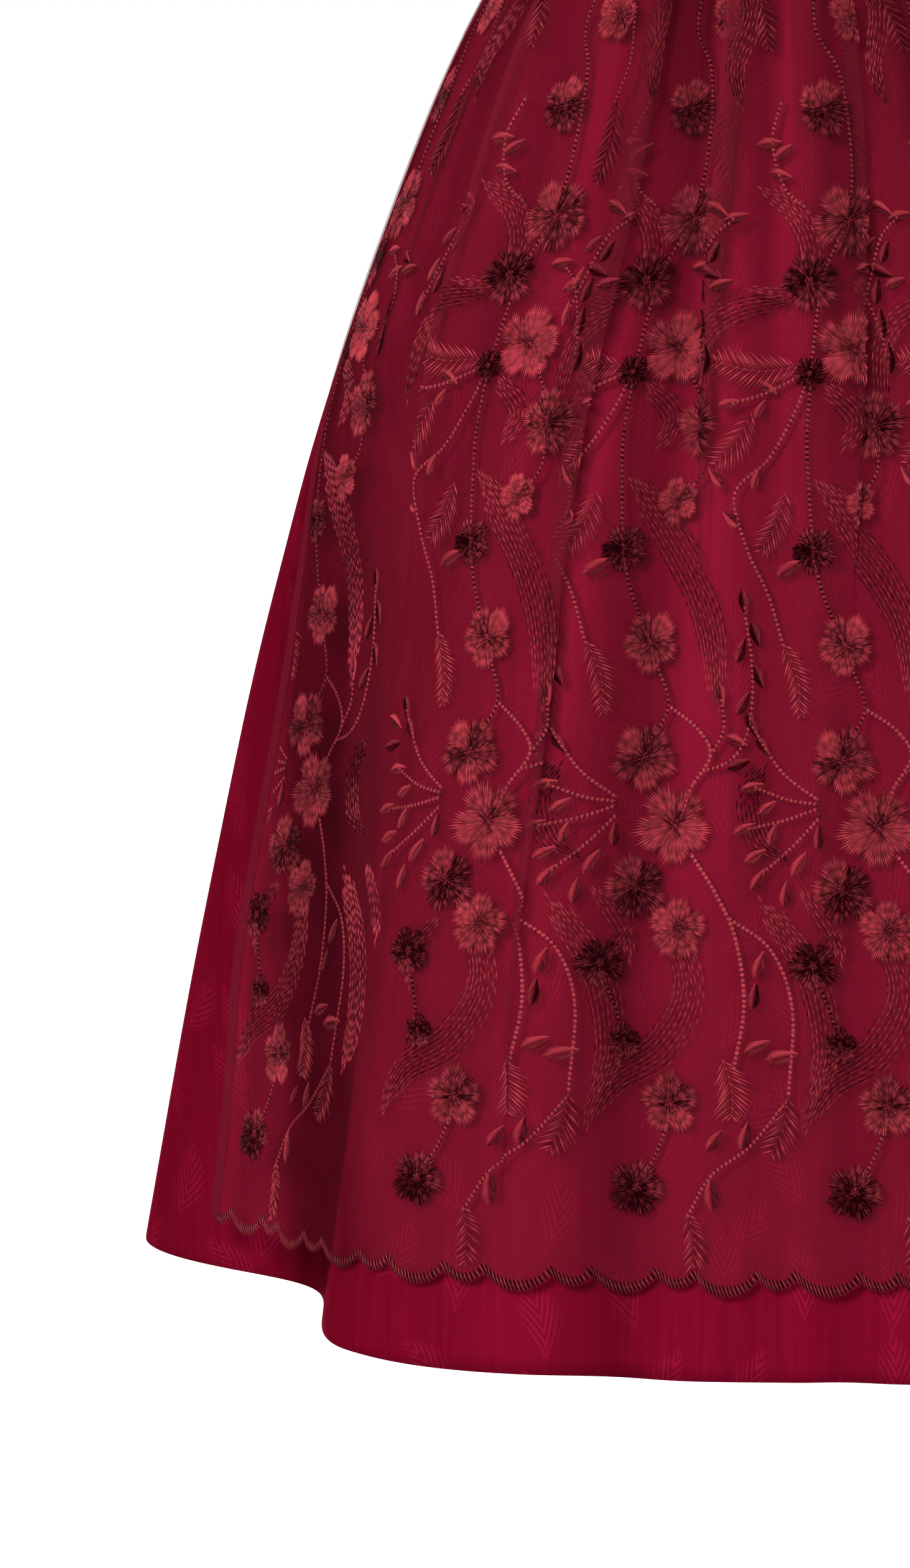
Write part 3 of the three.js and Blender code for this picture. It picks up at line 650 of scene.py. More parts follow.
def leaf_group():
    """Woven feather leaves scattered over the cloth: a mask between 0 and 1."""
    tree, cloth, per_metre, end = new_group("Woven leaves", "Cloth", "Leaves per metre", 21.0, "Mask")
    scaled = vectors(tree, "SCALE", {0: cloth, "Scale": per_metre})
    cells = add_node(tree, "ShaderNodeTexVoronoi", voronoi_dimensions="2D", feature="F1")
    feed(cells, {"Vector": scaled, "Scale": 1.0, "Randomness": LEAF["scatter"]})
    offset = vectors(tree, "SUBTRACT", {0: scaled, 1: cells.outputs["Position"]})
    tint = add_node(tree, "ShaderNodeSeparateColor", {0: cells.outputs["Color"]})
    swing = maths(tree, "MULTIPLY_ADD", tint.outputs[0], LEAF["swing"], LEAF["least_turn"])
    turning = add_node(tree, "ShaderNodeVectorRotate", rotation_type="Z_AXIS")
    feed(turning, {"Vector": offset, "Angle": swing})
    parts = add_node(tree, "ShaderNodeSeparateXYZ", {0: turning.outputs[0]})
    forward, sideways = parts.outputs[:2]
    bend = maths(tree, "MULTIPLY", maths(tree, "MULTIPLY", forward, forward), LEAF["bend"])
    across = maths(tree, "ABSOLUTE", maths(tree, "SUBTRACT", sideways, bend))
    along = maths(tree, "MULTIPLY", maths(tree, "ADD", forward, 0.5), math.pi)
    arch = maths(tree, "MAXIMUM", maths(tree, "SINE", along), 0.0)
    width = maths(tree, "MULTIPLY", arch, LEAF["half_width"])
    inside = maths(tree, "MULTIPLY", maths(tree, "SUBTRACT", width, across), LEAF["edge"], clamp=True)
    barbs = maths(tree, "MULTIPLY_ADD", across, LEAF["slant"], forward)
    stripe = maths(tree, "SINE", maths(tree, "MULTIPLY", barbs, LEAF["barbs"]))
    stripe = maths(tree, "MULTIPLY_ADD", stripe, 0.9, 0.35, clamp=True)
    feed(end, {"Mask": maths(tree, "MULTIPLY", inside, stripe)})


def unevenness_group():
    """Slow tonal drift of the cloth's dye and the fine break-up of its threads."""
    tree, place, strength, end = new_group("Cloth unevenness", "Place", "Strength", 0.12, "Factor")
    parts = []
    for scale, share in ((9.0, 0.6), (160.0, 0.4)):
        noise = add_node(tree, "ShaderNodeTexNoise", {"Vector": place, "Scale": scale, "Detail": 2.0})
        parts.append(maths(tree, "MULTIPLY", noise.outputs[0], share))
    centred = maths(tree, "SUBTRACT", maths(tree, "ADD", *parts), 0.5)
    feed(end, {"Factor": maths(tree, "MULTIPLY_ADD", centred, strength, 1.0)})


def new_material(name):
    material = bpy.data.materials.new(name)
    material.use_nodes = True
    return material.node_tree, material.node_tree.nodes["Principled BSDF"]


def cloth_place(tree):
    return add_node(tree, "ShaderNodeUVMap", uv_map="Cloth").outputs[0]


def uneven_factor(tree, strength, place=None):
    """The drift of colour over the cloth, or over the piece's own space where it has no flat cut."""
    place = place or add_node(tree, "ShaderNodeTexCoord").outputs["Object"]
    return group_output(tree, "Cloth unevenness", {"Place": place, "Strength": strength})


def plain_colour(tree, linear):
    node = add_node(tree, "ShaderNodeRGB")
    node.outputs[0].default_value = (*linear, 1)
    return node.outputs[0]


def tinted(tree, colour_a, colour_b, factor):
    """A colour between two, by a factor socket."""
    mix = add_node(tree, "ShaderNodeMix", data_type="RGBA")
    feed(mix, {"A": (*colour_a, 1), "B": (*colour_b, 1), "Factor": factor})
    return mix.outputs["Result"]


def scaled_colour(tree, colour, factor):
    """A colour socket made lighter or darker by a factor socket."""
    return vectors(tree, "SCALE", {0: colour, "Scale": factor})


def shaded(tree, colour, strength):
    """A colour socket darkened by painted shade in the hollows of the folds, read from the hollow
    attribute.
    """
    hollow = add_node(tree, "ShaderNodeAttribute", attribute_name="hollow")
    factor = maths(tree, "MULTIPLY_ADD", hollow.outputs["Fac"], -strength, 1.0)
    return scaled_colour(tree, colour, factor)


def satin_material(name, leaves, roughness):
    """Glossy warp satin; with leaves it is a jacquard with paler, duller leaves and fine streaks."""
    tree, shader = new_material(name)
    cloth = cloth_place(tree)
    uneven = uneven_factor(tree, 0.22, cloth)
    height = maths(tree, "MULTIPLY", group_output(tree, "Weave", {"Cloth": cloth}), 0.35)
    rough = maths(tree, "MULTIPLY", uneven, roughness)
    satin, pale = colours().satin, colours().satin_leaves
    if leaves:
        woven = group_output(tree, "Woven leaves", {"Cloth": cloth})
        drawn = vectors(tree, "MULTIPLY", {0: cloth, 1: STREAKS_PER_METRE})
        streaks = add_node(tree, "ShaderNodeTexNoise", {"Vector": drawn, "Scale": 1.0})
        slub = maths(tree, "MULTIPLY_ADD", streaks.outputs[0], 0.5, 0.75)
        colour = scaled_colour(tree, tinted(tree, satin, pale, woven), slub)
        height = maths(tree, "ADD", height, woven)
        rough = maths(tree, "MULTIPLY_ADD", woven, 0.16, rough)
    else:
        colour = tinted(tree, pale, satin, uneven)
    relief = add_node(tree, "ShaderNodeBump", {"Strength": 0.35, "Distance": 0.0002, "Height": height})
    feed(shader, {
        "Base Color": shaded(tree, scaled_colour(tree, colour, uneven), 0.62),
        "Roughness": rough, "Normal": relief.outputs[0], "Metallic": 0.3,
        "Specular IOR Level": 0.0, "Specular Tint": (1.0, 0.10, 0.20, 1),
        "Sheen Weight": 0.04, "Sheen Roughness": 0.35, "Sheen Tint": (0.9, 0.06, 0.16, 1)})


def net_material(name, bars_alpha, base_alpha):
    """Sheer tulle: fine crossing bars with see-through gaps, evened out at a distance."""
    tree, shader = new_material(name)
    cloth = cloth_place(tree)
    turned = add_node(tree, "ShaderNodeVectorRotate", rotation_type="Z_AXIS")
    feed(turned, {"Vector": cloth, "Angle": math.radians(45)})
    bars = group_output(tree, "Weave", {"Cloth": turned.outputs[0], "Threads per metre": 950.0})
    alpha = maths(tree, "MULTIPLY_ADD", bars, bars_alpha, base_alpha)
    feed(shader, {
        "Alpha": maths(tree, "MULTIPLY", alpha, uneven_factor(tree, 0.3, cloth)),
        "Base Color": shaded(tree, plain_colour(tree, colours().net), 0.55),
        "Roughness": 0.7, "Specular IOR Level": 0.0,
        "Sheen Weight": 0.03, "Sheen Tint": (0.9, 0.12, 0.2, 1)})


def thread_material(name, depth):
    """Lustrous embroidery thread, mixed from a shaded to a lit colour of the same thread by each
    stitch's own attribute: painted light and shade.
    """
    tree, shader = new_material(name)
    tone = add_node(tree, "ShaderNodeAttribute", attribute_name="tone")
    share = maths(tree, "MULTIPLY", tone.outputs["Fac"], depth)
    thread_light_and_shade = tinted(tree, colours().thread_in_shade, colours().thread, share)
    feed(shader, {
        "Base Color": scaled_colour(tree, thread_light_and_shade, uneven_factor(tree, 0.5)), "Roughness": 0.45,
        "Specular IOR Level": 0.06, "Specular Tint": (1.0, 0.16, 0.20, 1)})


def button_material():
    tree, shader = new_material("Button gloss")
    uneven = uneven_factor(tree, 0.35)
    feed(shader, {
        "Base Color": scaled_colour(tree, plain_colour(tree, colours().button), uneven),
        "Roughness": maths(tree, "MULTIPLY", uneven, 0.36), "Metallic": 0.5,
        "Specular IOR Level": 0.25, "Specular Tint": (1.0, 0.25, 0.30, 1)})


# Stitches

def stitch_mesh(name, ends, middles, normals, widths, heights, tones_and_light, material):
    """One object of many small lozenge stitches, each a closed solid of five points, with painted
    light on its top point and painted shade on its four foot points.
    """
    begin, end = ends
    sideways = np.cross(normals, end - begin)
    sideways /= np.maximum(np.linalg.norm(sideways, axis=1, keepdims=True), 1e-9)
    sideways *= widths[:, None] / 2
    top = middles + normals * heights[:, None]
    begin, left, end, right = (place - normals * STITCH_SINK for place in (
        begin, middles - sideways, end, middles + sideways))
    points = np.stack([begin, left, end, right, top], 1)
    start = (np.arange(len(points)) * 5)[:, None]
    tops = [start + np.array(corners) for corners in ((0, 1, 4), (1, 2, 4), (2, 3, 4), (3, 0, 4))]
    faces = np.concatenate(tops).tolist() + (start + np.array((0, 3, 2, 1))).tolist()
    piece = mesh_object(name, points.reshape(-1, 3), faces, material, smooth=False)
    point_values(piece, "tone", np.clip(tones_and_light[:, None] + np.array(STITCH_LIGHT_AND_SHADE), 0, 1))
    return piece


class NetMap:
    """Places flat cloth coordinates, in millimetres, on the hanging net."""

    def __init__(self):
        self.across = np.linspace(-APRON_HALF_WIDTH, APRON_HALF_WIDTH, APRON_COLUMNS)
        self.down = np.linspace(0, 1, APRON_ROWS)
        grid = np.meshgrid(self.across, self.down)
        self.points = apron_surface(*grid)
        self.shade = apron_surface(*grid, shade=True)[..., None]
        self.normals = grid_normals(self.points)

    def read(self, values, across, down):
        column = (across + APRON_HALF_WIDTH) / (2 * APRON_HALF_WIDTH) * (APRON_COLUMNS - 1)
        row = down / APRON_LENGTH * (APRON_ROWS - 1)
        column = np.clip(column, 0, APRON_COLUMNS - 1.001)
        row = np.clip(row, 0, APRON_ROWS - 1.001)
        c, r = column.astype(int), row.astype(int)
        s, t = (column - c)[:, None], (row - r)[:, None]
        upper = values[r, c] * (1 - s) + values[r, c + 1] * s
        lower = values[r + 1, c] * (1 - s) + values[r + 1, c + 1] * s
        return upper * (1 - t) + lower * t

    def stitch(self, name, rows, lift):
        """Stitches from rows of across, down, turn, length, width and a share from shaded to lit
        thread, which holds random differences and painted light and shade.
        """
        across, down, turn, long, width, tone = np.array(rows, float).T
        normals = self.read(self.normals, across, down)
        raised = normals * lift * MM
        ends = [self.read(self.points, across + side * np.cos(turn) * long / 2,
                          down + side * np.sin(turn) * long / 2) + raised for side in (-1, 1)]
        middles = self.read(self.points, across, down) + raised
        flatness = np.where(width > SHADE_PADDING["least_width"], SHADE_PADDING["height"], 1.0)
        # Painted shade: stitches in the hollows of the folds are made darker
        tone = tone * (1 - THREAD_SHADE * self.read(self.shade, across, down)[:, 0])
        piece = stitch_mesh(name, ends, middles, normals, width * MM,
                            flatness * sizes().stitch_height, tone, "Embroidery thread")
        finish_piece(piece, [], "tulle")


def along_path(points, pitch):
    """Even steps along a smooth path through flat points: places, directions and shares."""
    points = np.array(points, float)
    padded = np.vstack([2 * points[0] - points[1], points, 2 * points[-1] - points[-2]])
    t = np.linspace(0, 1, 24, endpoint=False)[:, None]
    curve = []
    for a, b, c, d in zip(padded, padded[1:], padded[2:], padded[3:]):
        curve.append(0.5 * (2 * b + (c - a) * t + (2 * a - 5 * b + 4 * c - d) * t ** 2
                            + (3 * b - a - 3 * c + d) * t ** 3))
    curve = np.vstack([*curve, points[-1:]])
    reach = np.concatenate([[0], np.cumsum(np.hypot(*np.diff(curve, axis=0).T))])
    count = max(2, int(reach[-1] / pitch))
    at = (np.arange(count) + 0.5) / count * reach[-1]
    places, ahead, behind = (
        np.stack([np.interp(at + shift, reach, curve[:, axis]) for axis in (0, 1)], 1)
        for shift in (0, 0.5, -0.5))
    turns = np.arctan2(*(ahead - behind).T[::-1])
    return list(zip(places, turns, at / reach[-1]))


def toward(place, turn, reach):
    return place[0] + math.cos(turn) * reach, place[1] + math.sin(turn) * reach


def petal_reach(side):
    """How far a petal's rounded edge lies from the flower's middle, by place across the petal."""
    rounded = math.sqrt(max(0.0, 1 - 0.94 * side * side))
    return 0.50 + 0.50 * rounded - 0.06 * math.exp(-(side / 0.12) ** 2)


def flower_stitches(chance, flower):
    """Five overlapping petals in ragged long and short stitches over wide flat under-stitches,
    darkened as a painted shadow in the gaps between the stitches.
    """
    rows = []
    place = flower["across"], flower["down"]
    radius, tone = flower["radius"] * PETAL["swell"], flower["tone"]
    first = chance.uniform(0, 1.2)
    for petal in (0, 2, 4, 1, 3):
        facing = first + petal * 2 * math.pi / 5
        petal_tone_and_light = tone + chance.choice([-0.24, -0.10, 0.04, 0.14])
        size = radius * chance.uniform(0.94, 1.06)
        shade_padding = size * SHADE_PADDING["length"], max(size * 0.3, SHADE_PADDING["least_width"] + 0.1)
        for turn in (facing - SHADE_PADDING["aside"], facing, facing + SHADE_PADDING["aside"]):
            rows.append((*toward(place, turn, size / 2), turn, *shade_padding,
                         petal_tone_and_light + SHADE_PADDING["shade"]))
        for ring in PETAL_RINGS:
            for step in range(ring["count"]):
                side = 2 * (step + 0.5) / ring["count"] - 1
                edge = size * petal_reach(side)
                outer = edge * ring["to"] * chance.uniform(0.92, 1.04)
                inner = edge * ring["from"] * chance.uniform(0.88, 1.12)
                start = np.array(toward(place, facing + side * PETAL["root"], inner))
                end = np.array(toward(place, facing + side * PETAL["rim"], outer))
                away = end - start
                ragged = chance.uniform(-PETAL["ragged"], PETAL["ragged"])
                # Painted shade: each petal is darker towards its sides, where the next petals overlap
                # it
                rows.append((*(start + end) / 2, math.atan2(away[1], away[0]), np.hypot(*away),
                             PETAL["thread"],
                             petal_tone_and_light + ring["shade"] - 0.22 * abs(side) ** 3 + ragged))
    for step in range(KNOTS["count"]):
        turn = step * KNOTS["turn"]
        reach = radius * KNOTS["reach"] * math.sqrt(step / KNOTS["count"])
        rows.append((*toward(place, turn, reach), turn, radius * KNOTS["length"], 1.0,
                     tone * 0.3 + chance.uniform(0, 0.4)))
    return rows


def stem_stitches(chance, stem):
    """A stem of short slanting stitches, alternately lit and shaded by painted light and shade, laid
    one over the next like a cord.
    """
    rows = []
    for step, (place, turn, _) in enumerate(along_path(stem["path"], CORD["pitch"])):
        shade = CORD["light"] if step % 2 else CORD["dark"]
        rows.append((*place, turn + CORD["slant"], CORD["length"], stem["wide"] * CORD["swell"],
                     stem["tone"] + shade + chance.uniform(-0.1, 0.1)))
    return rows


def leaf_stitches(chance, leaf):
    """A feather leaf: separate spiky side stitches slanting off a corded middle vein."""
    rows = []
    start, end = np.array(leaf["start"], float), np.array(leaf["end"], float)
    middle = (start + end) / 2 + np.array([start[1] - end[1], end[0] - start[0]]) * FEATHER["bow"]
    path = along_path([start, middle, end], FEATHER["pitch"])
    for step, (place, turn, share) in enumerate(path):
        form = math.sin(math.pi * min(1, share * 0.84 + 0.13)) ** 0.6
        width = leaf["width"] * FEATHER["fullness"] * form
        for side in (-1, 1):
            slant = turn + side * FEATHER["slant"]
            spike = FEATHER["long"] if step % 2 else FEATHER["short"]
            long = width * FEATHER["reach"] * spike * chance.uniform(0.9, 1.08)
            shade = 0.2 if (step + (side > 0)) % 2 else -0.16
            rows.append((*toward(place, slant, long / 2), slant, long, FEATHER["thread"],
                         leaf["tone"] + shade + chance.uniform(-0.2, 0.2)))
        rows.append((*place, turn + 0.4, 2.4, 1.1, leaf["tone"] - 0.3 * (step % 2)))
    return rows


def bud_stitches(chance, bud):
    """An almond bud of close slanting stitches, one side of it in shade."""
    rows = []
    long = bud["length"] * ALMOND["swell"]
    for step in range(ALMOND["count"]):
        share = (step + 0.5) / ALMOND["count"]
        width = long * ALMOND["width"] * math.sin(math.pi * min(1, share + 0.03)) + 0.5
        place = toward((bud["across"], bud["down"]), bud["turn"], (share - 0.5) * long)
        for side in (-1, 1):
            beside = toward(place, bud["turn"] + math.pi / 2, side * width * 0.36)
            rows.append((*beside, bud["turn"] + side * ALMOND["slant"], width * 1.5,
                         ALMOND["thread"],
                         bud["tone"] - side * ALMOND["shade"] + chance.uniform(-0.12, 0.12)))
    return rows


def plume_stitches(chance, plume):
    """A sweeping plume of side-by-side lines of short stitches, frayed at both ends."""
    rows = []
    lines = plume["width"]
    path = along_path(plume["path"], SWEEP["pitch"])
    for line in range(lines):
        side = 2 * (line + 0.5) / lines - 1
        begin = SWEEP["frayed_top"] * abs(side) * chance.uniform(0.5, 1.2) + chance.uniform(0, 0.05)
        frayed = SWEEP["frayed_foot"] * abs(side) * chance.uniform(0.4, 1.3)
        finish = 1 - frayed - chance.uniform(0, 0.06)
        index = int(len(path) * begin) + int(chance.integers(0, 6))
        while index < len(path) * finish:
            place, turn, share = path[index]
            form = math.sin(math.pi * min(1, 0.13 + share * 0.80)) ** 0.8
            width = plume["width"] * SWEEP["fullness"] * form
            place = toward(place, turn + math.pi / 2, side * width + chance.uniform(-0.12, 0.12))
            turn += side * 0.12 * math.cos(math.pi * share) + chance.uniform(-0.05, 0.05)
            glint = SWEEP["glint"] * math.sin(2 * math.pi * (share * 1.3 + plume["down_phase"]))
            shade = SWEEP["shade"] * (1 if line % 2 else -1) - 0.1
            rows.append((*place, turn, chance.uniform(4.2, 6.2), SWEEP["thread"],
                         plume["tone"] + glint + shade + chance.uniform(-0.14, 0.14)))
            index += int(chance.integers(9, 13))
    return rows


def border_stitches(chance):
    """Slanting stitches along the net's scalloped hem, longer at the cusps."""
    rows = []
    places = np.arange(1 - APRON_HALF_WIDTH, APRON_HALF_WIDTH - 1, BORDER["pitch"])
    for step, across in enumerate(places):
        phase = scallop_phase(across / APRON_HALF_WIDTH)
        cusp = min(phase, 1 - phase, abs(phase - SCALLOPS[0]["share"]))
        extra = BORDER["cusp"] * math.exp(-(cusp / 0.05) ** 2)
        rows.append((across, APRON_LENGTH - BORDER["inset"] - extra / 2,
                     math.pi / 2 + BORDER["slant"], BORDER["length"] + extra, BORDER["thread"],
                     BORDER["tones_and_light"][step % 3] + chance.uniform(0, 0.26)))
    return rows


def repeat_motif(make, table):
    """Stitches of every column of the motif on the net, cut off at its turned edges."""
    chance = np.random.default_rng(sizes().seed)
    rows = np.array([stitch for row in table for stitch in make(chance, row)])
    columns = []
    for start in MOTIF_COLUMNS:
        moved = rows.copy()
        gathered = np.clip(1 - moved[:, 1] / MOTIF_STRAIGHT_FROM, 0, 1)
        moved[:, 0] += start + MOTIF_TOP_DRIFT * gathered
        moved[:, 5] += chance.uniform(-0.05, 0.05, len(rows))
        columns.append(moved)
    columns = np.concatenate(columns)
    aside, down = np.abs(columns[:, 0]), columns[:, 1]
    return columns[(aside < APRON_HALF_WIDTH - EDGE_WIDTH - 2) & (down > 3)
                   & (down < APRON_LENGTH - 7)]


def run_of_stitches(points, normals):
    """Ends, middles and normals of a row of machine stitches along a path on cloth."""
    reach = np.concatenate([[0], np.cumsum(np.linalg.norm(np.diff(points, axis=0), axis=1))])
    count = int(reach[-1] / TOPSTITCH["pitch"])
    at = (np.arange(count) + 0.5) * reach[-1] / count

    def read(values, distance):
        return np.stack([np.interp(distance, reach, values[:, axis]) for axis in range(3)], 1)

    half = TOPSTITCH["length"] / 2
    lying = read(normals, at)
    lying /= np.linalg.norm(lying, axis=1, keepdims=True)
    return read(points, at - half), read(points, at + half), read(points, at), lying


def topstitch(name, paths, slot):
    """Machine topstitching along several paths, each a pair of points and normals in metres."""
    runs = [run_of_stitches(*path) for path in paths]
    begins, ends, middles, normals = (np.concatenate(part) for part in zip(*runs))
    measures = [np.full(len(middles), TOPSTITCH[key]) for key in ("width", "height", "tone")]
    piece = stitch_mesh(name, (begins, ends), middles, normals, *measures, "Sewing thread")
    finish_piece(piece, [], slot)


def edge_lines(grid, inset, *sides):
    """Paths with normals a little inside the edges of a grid of cloth points."""
    normals = grid_normals(grid)
    paths = []
    for side in sides:
        rows, lying = grid, normals
        if side in ("first", "last"):
            rows, lying = rows.transpose(1, 0, 2), lying.transpose(1, 0, 2)
        if side in ("bottom", "last"):
            rows, lying = rows[::-1], lying[::-1]
        gaps = np.linalg.norm(rows[1:] - rows[:-1], axis=2)
        reach = np.cumsum(gaps, axis=0)
        line, facing = [], []
        for column in range(rows.shape[1]):
            row = min(int(np.searchsorted(reach[:, column], inset)), len(rows) - 2)
            before = reach[row - 1, column] if row else 0
            share = np.clip((inset - before) / gaps[row, column], 0, 1)
            line.append(rows[row, column] * (1 - share) + rows[row + 1, column] * share)
            facing.append(lying[row, column])
        paths.append((np.array(line), np.array(facing)))
    return paths


def finish_piece(piece, nodes, slot, flat=None, held=None, area=None, rests_on=(), with_pieces=()):
    """Attaches one piece of cloth, trim or stitching to the body, and hides the frame's parts that it
    takes the place of.
    """
    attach(piece, BODY)
    if nodes:
        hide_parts(*nodes)


def satin_piece(node, grid, uv, material, slot, shade=None, **facts):
    """One cut piece of satin in the place of a node, attached to the body."""
    finish_piece(cloth_piece(node + "_satin", grid, uv, material, shade=shade), [node], slot, **facts)


# Operators

class MakeFinishes(bpy.types.Operator):
    """Build the cloth, thread and button finishes"""
    bl_idname = "dirndl.make_finishes"
    bl_label = "Finishes"

    def execute(self, context):
        weave_group()
        leaf_group()
        unevenness_group()
        satin_material("Jacquard satin", True, 0.46)
        satin_material("Plain satin", False, 0.40)
        net_material("Tulle net", 0.17, 0.07)
        net_material("Turned tulle", 0.30, 0.26)
        thread_material("Embroidery thread", 1.0)
        thread_material("Sewing thread", 0.8)
        button_material()
        return {"FINISHED"}


class MakeSkirt(bpy.types.Operator):
    """Make the two gathered satin skirt panels"""
    bl_idname = "dirndl.make_skirt"
    bl_label = "Skirt panels"

    def execute(self, context):
        waist, hem, drop = (SKIRT_FLAT[key] for key in ("waist", "hem", "length"))
        shares, downs = np.linspace(-0.5, 0.5, 361), np.linspace(0, 1, 101) ** 1.15
        share, down = np.meshgrid(shares, downs)
        height = down * HEM_LEVEL
        for row in SKIRT_PANELS:
            across = row["middle"] + share * (180 - 2 * SEAM_GAP)
            grid = on_body(across, skirt_radius(across, height), height)
            width = waist + (hem - waist) * down
            satin_piece(row["node"], grid, (share * width + row["aside"], -down * drop),
                        "Jacquard satin", "satin", fold_shade(across, height, SATIN_HOLLOW),
                        flat=(hem, drop), held="gathered", area=(waist + hem) / 2 * drop,
                        rests_on=[row["rests_on"]])
        return {"FINISHED"}


class MakeBodice(bpy.types.Operator):
    """Make the bodice's five shaped panels with their topstitched neckline"""
    bl_idname = "dirndl.make_bodice"
    bl_label = "Bodice panels"

    def execute(self, context):
        lines = []
        for row in BODICE_PANELS:
            first, last = row["from"] + SEAM_GAP, row["to"] - SEAM_GAP
            angles = np.linspace(first, last, int((last - first) / CLOTH_STEP) + 2)
            across, up = np.meshgrid(angles, np.linspace(1, 0, 71))
            level = bodice_top(across) * up
            seam = np.minimum(across - first, last - across)
            pucker = 0.5 * np.exp(-seam / 2.2) * (1 + np.sin(level / 2.9 + across * 0.3))
            tension = 0.7 * np.exp(-((level - 30) / 30) ** 2) * np.sin(level / 5 + across / 9)
            inward = pucker + 0.4 * (1 + tension)
            grid = on_body(across, bodice_radius(across, level) - inward, level)
            cut = (across - first) / (last - first) * row["flat"][0] + row["from"] * 0.01
            satin_piece(row["node"], grid, (cut, level * MM), "Jacquard satin", "satin",
                        flat=row["flat"], held="stretched", area=row["area"],
                        rests_on=["apron_band"])
            lines += edge_lines(grid, 0.005, "top")
        topstitch("bodice_topstitching", lines, "satin")
        return {"FINISHED"}


def strap_grid(side, rows, columns):
    """Points of one strap from the front top over the shoulder to the back top."""
    lines = []
    run = SHOULDER["run"]
    for t in np.linspace(0, 1, columns):
        front_angle = STRAP["front_from"] + (STRAP["front_to"] - STRAP["front_from"]) * t
        back_angle = STRAP["back_to"] + (STRAP["back_from"] - STRAP["back_to"]) * t
        ends = []
        for angle in (front_angle, back_angle):
            top = bodice_top(angle)
            inside = bodice_radius(angle, top) - STRAP["inset"]
            ends.append(on_body(angle, inside, top - STRAP["tucked"]) / MM)
        across = -(SHOULDER["across"] + (t - 0.5) * 2 * SHOULDER["half_width"])
        ridge = SHOULDER["level"] - SHOULDER["fall"] * t
        low = ridge - SHOULDER["dip"]
        lines.append(centripetal([
            ends[0], ((ends[0][0] + across) / 2, -CHEST["depth"], CHEST["level"]),
            (across, -run, low), (across, 0, ridge), (across, run, low), ends[1]], rows))
    grid = np.array(lines).transpose(1, 0, 2)[::-1]
    if side > 0:
        grid = (grid * np.array([-1, 1, 1]))[:, ::-1]
    return grid * MM


def centripetal(knots, count):
    """Even points on a centripetal Catmull-Rom curve, its ends running straight on."""
    knots = np.array(knots, float)
    knots = np.vstack([2 * knots[0] - knots[1], knots, 2 * knots[-1] - knots[-2]])
    spans = len(knots) - 3
    points = []
    for at in np.linspace(0, spans, count):
        index = min(int(at), spans - 1)
        t = at - index
        a, b, c, d = knots[index:index + 4]
        before, span, after = (max(np.linalg.norm(q - p) ** 0.5, 1e-6)
                               for p, q in ((a, b), (b, c), (c, d)))
        leave = ((b - a) / before - (c - a) / (before + span) + (c - b) / span) * span
        arrive = ((c - b) / span - (d - b) / (span + after) + (d - c) / after) * span
        points.append(b * (1 + 2 * t) * (1 - t) ** 2 + leave * t * (1 - t) ** 2
                      + c * t ** 2 * (3 - 2 * t) + arrive * t ** 2 * (t - 1))
    return np.array(points)


class MakeStraps(bpy.types.Operator):
    """Make the two shoulder straps with topstitched edges"""
    bl_idname = "dirndl.make_straps"
    bl_label = "Shoulder straps"

    def execute(self, context):
        rows, columns = 97, 15
        wide, long = STRAP_FLAT
        lines = []
        for name, side in (("right", -1), ("left", 1)):
            grid = strap_grid(side, rows, columns)
            share = np.linspace(-1, 1, columns)[None, :, None]
            grid = grid - grid_normals(grid) * 0.6 * np.abs(share) ** 6 * MM
            uv = np.meshgrid(np.linspace(0, wide, columns), np.linspace(0, long, rows))
            satin_piece("strap_" + name, grid, uv, "Plain satin", "satin", flat=STRAP_FLAT,
                        held="hung", rests_on=["bodice_back", "bodice_front_" + name])
            lines += edge_lines(grid, 0.004, "first", "last")
        topstitch("strap_topstitching", lines, "satin")
        return {"FINISHED"}


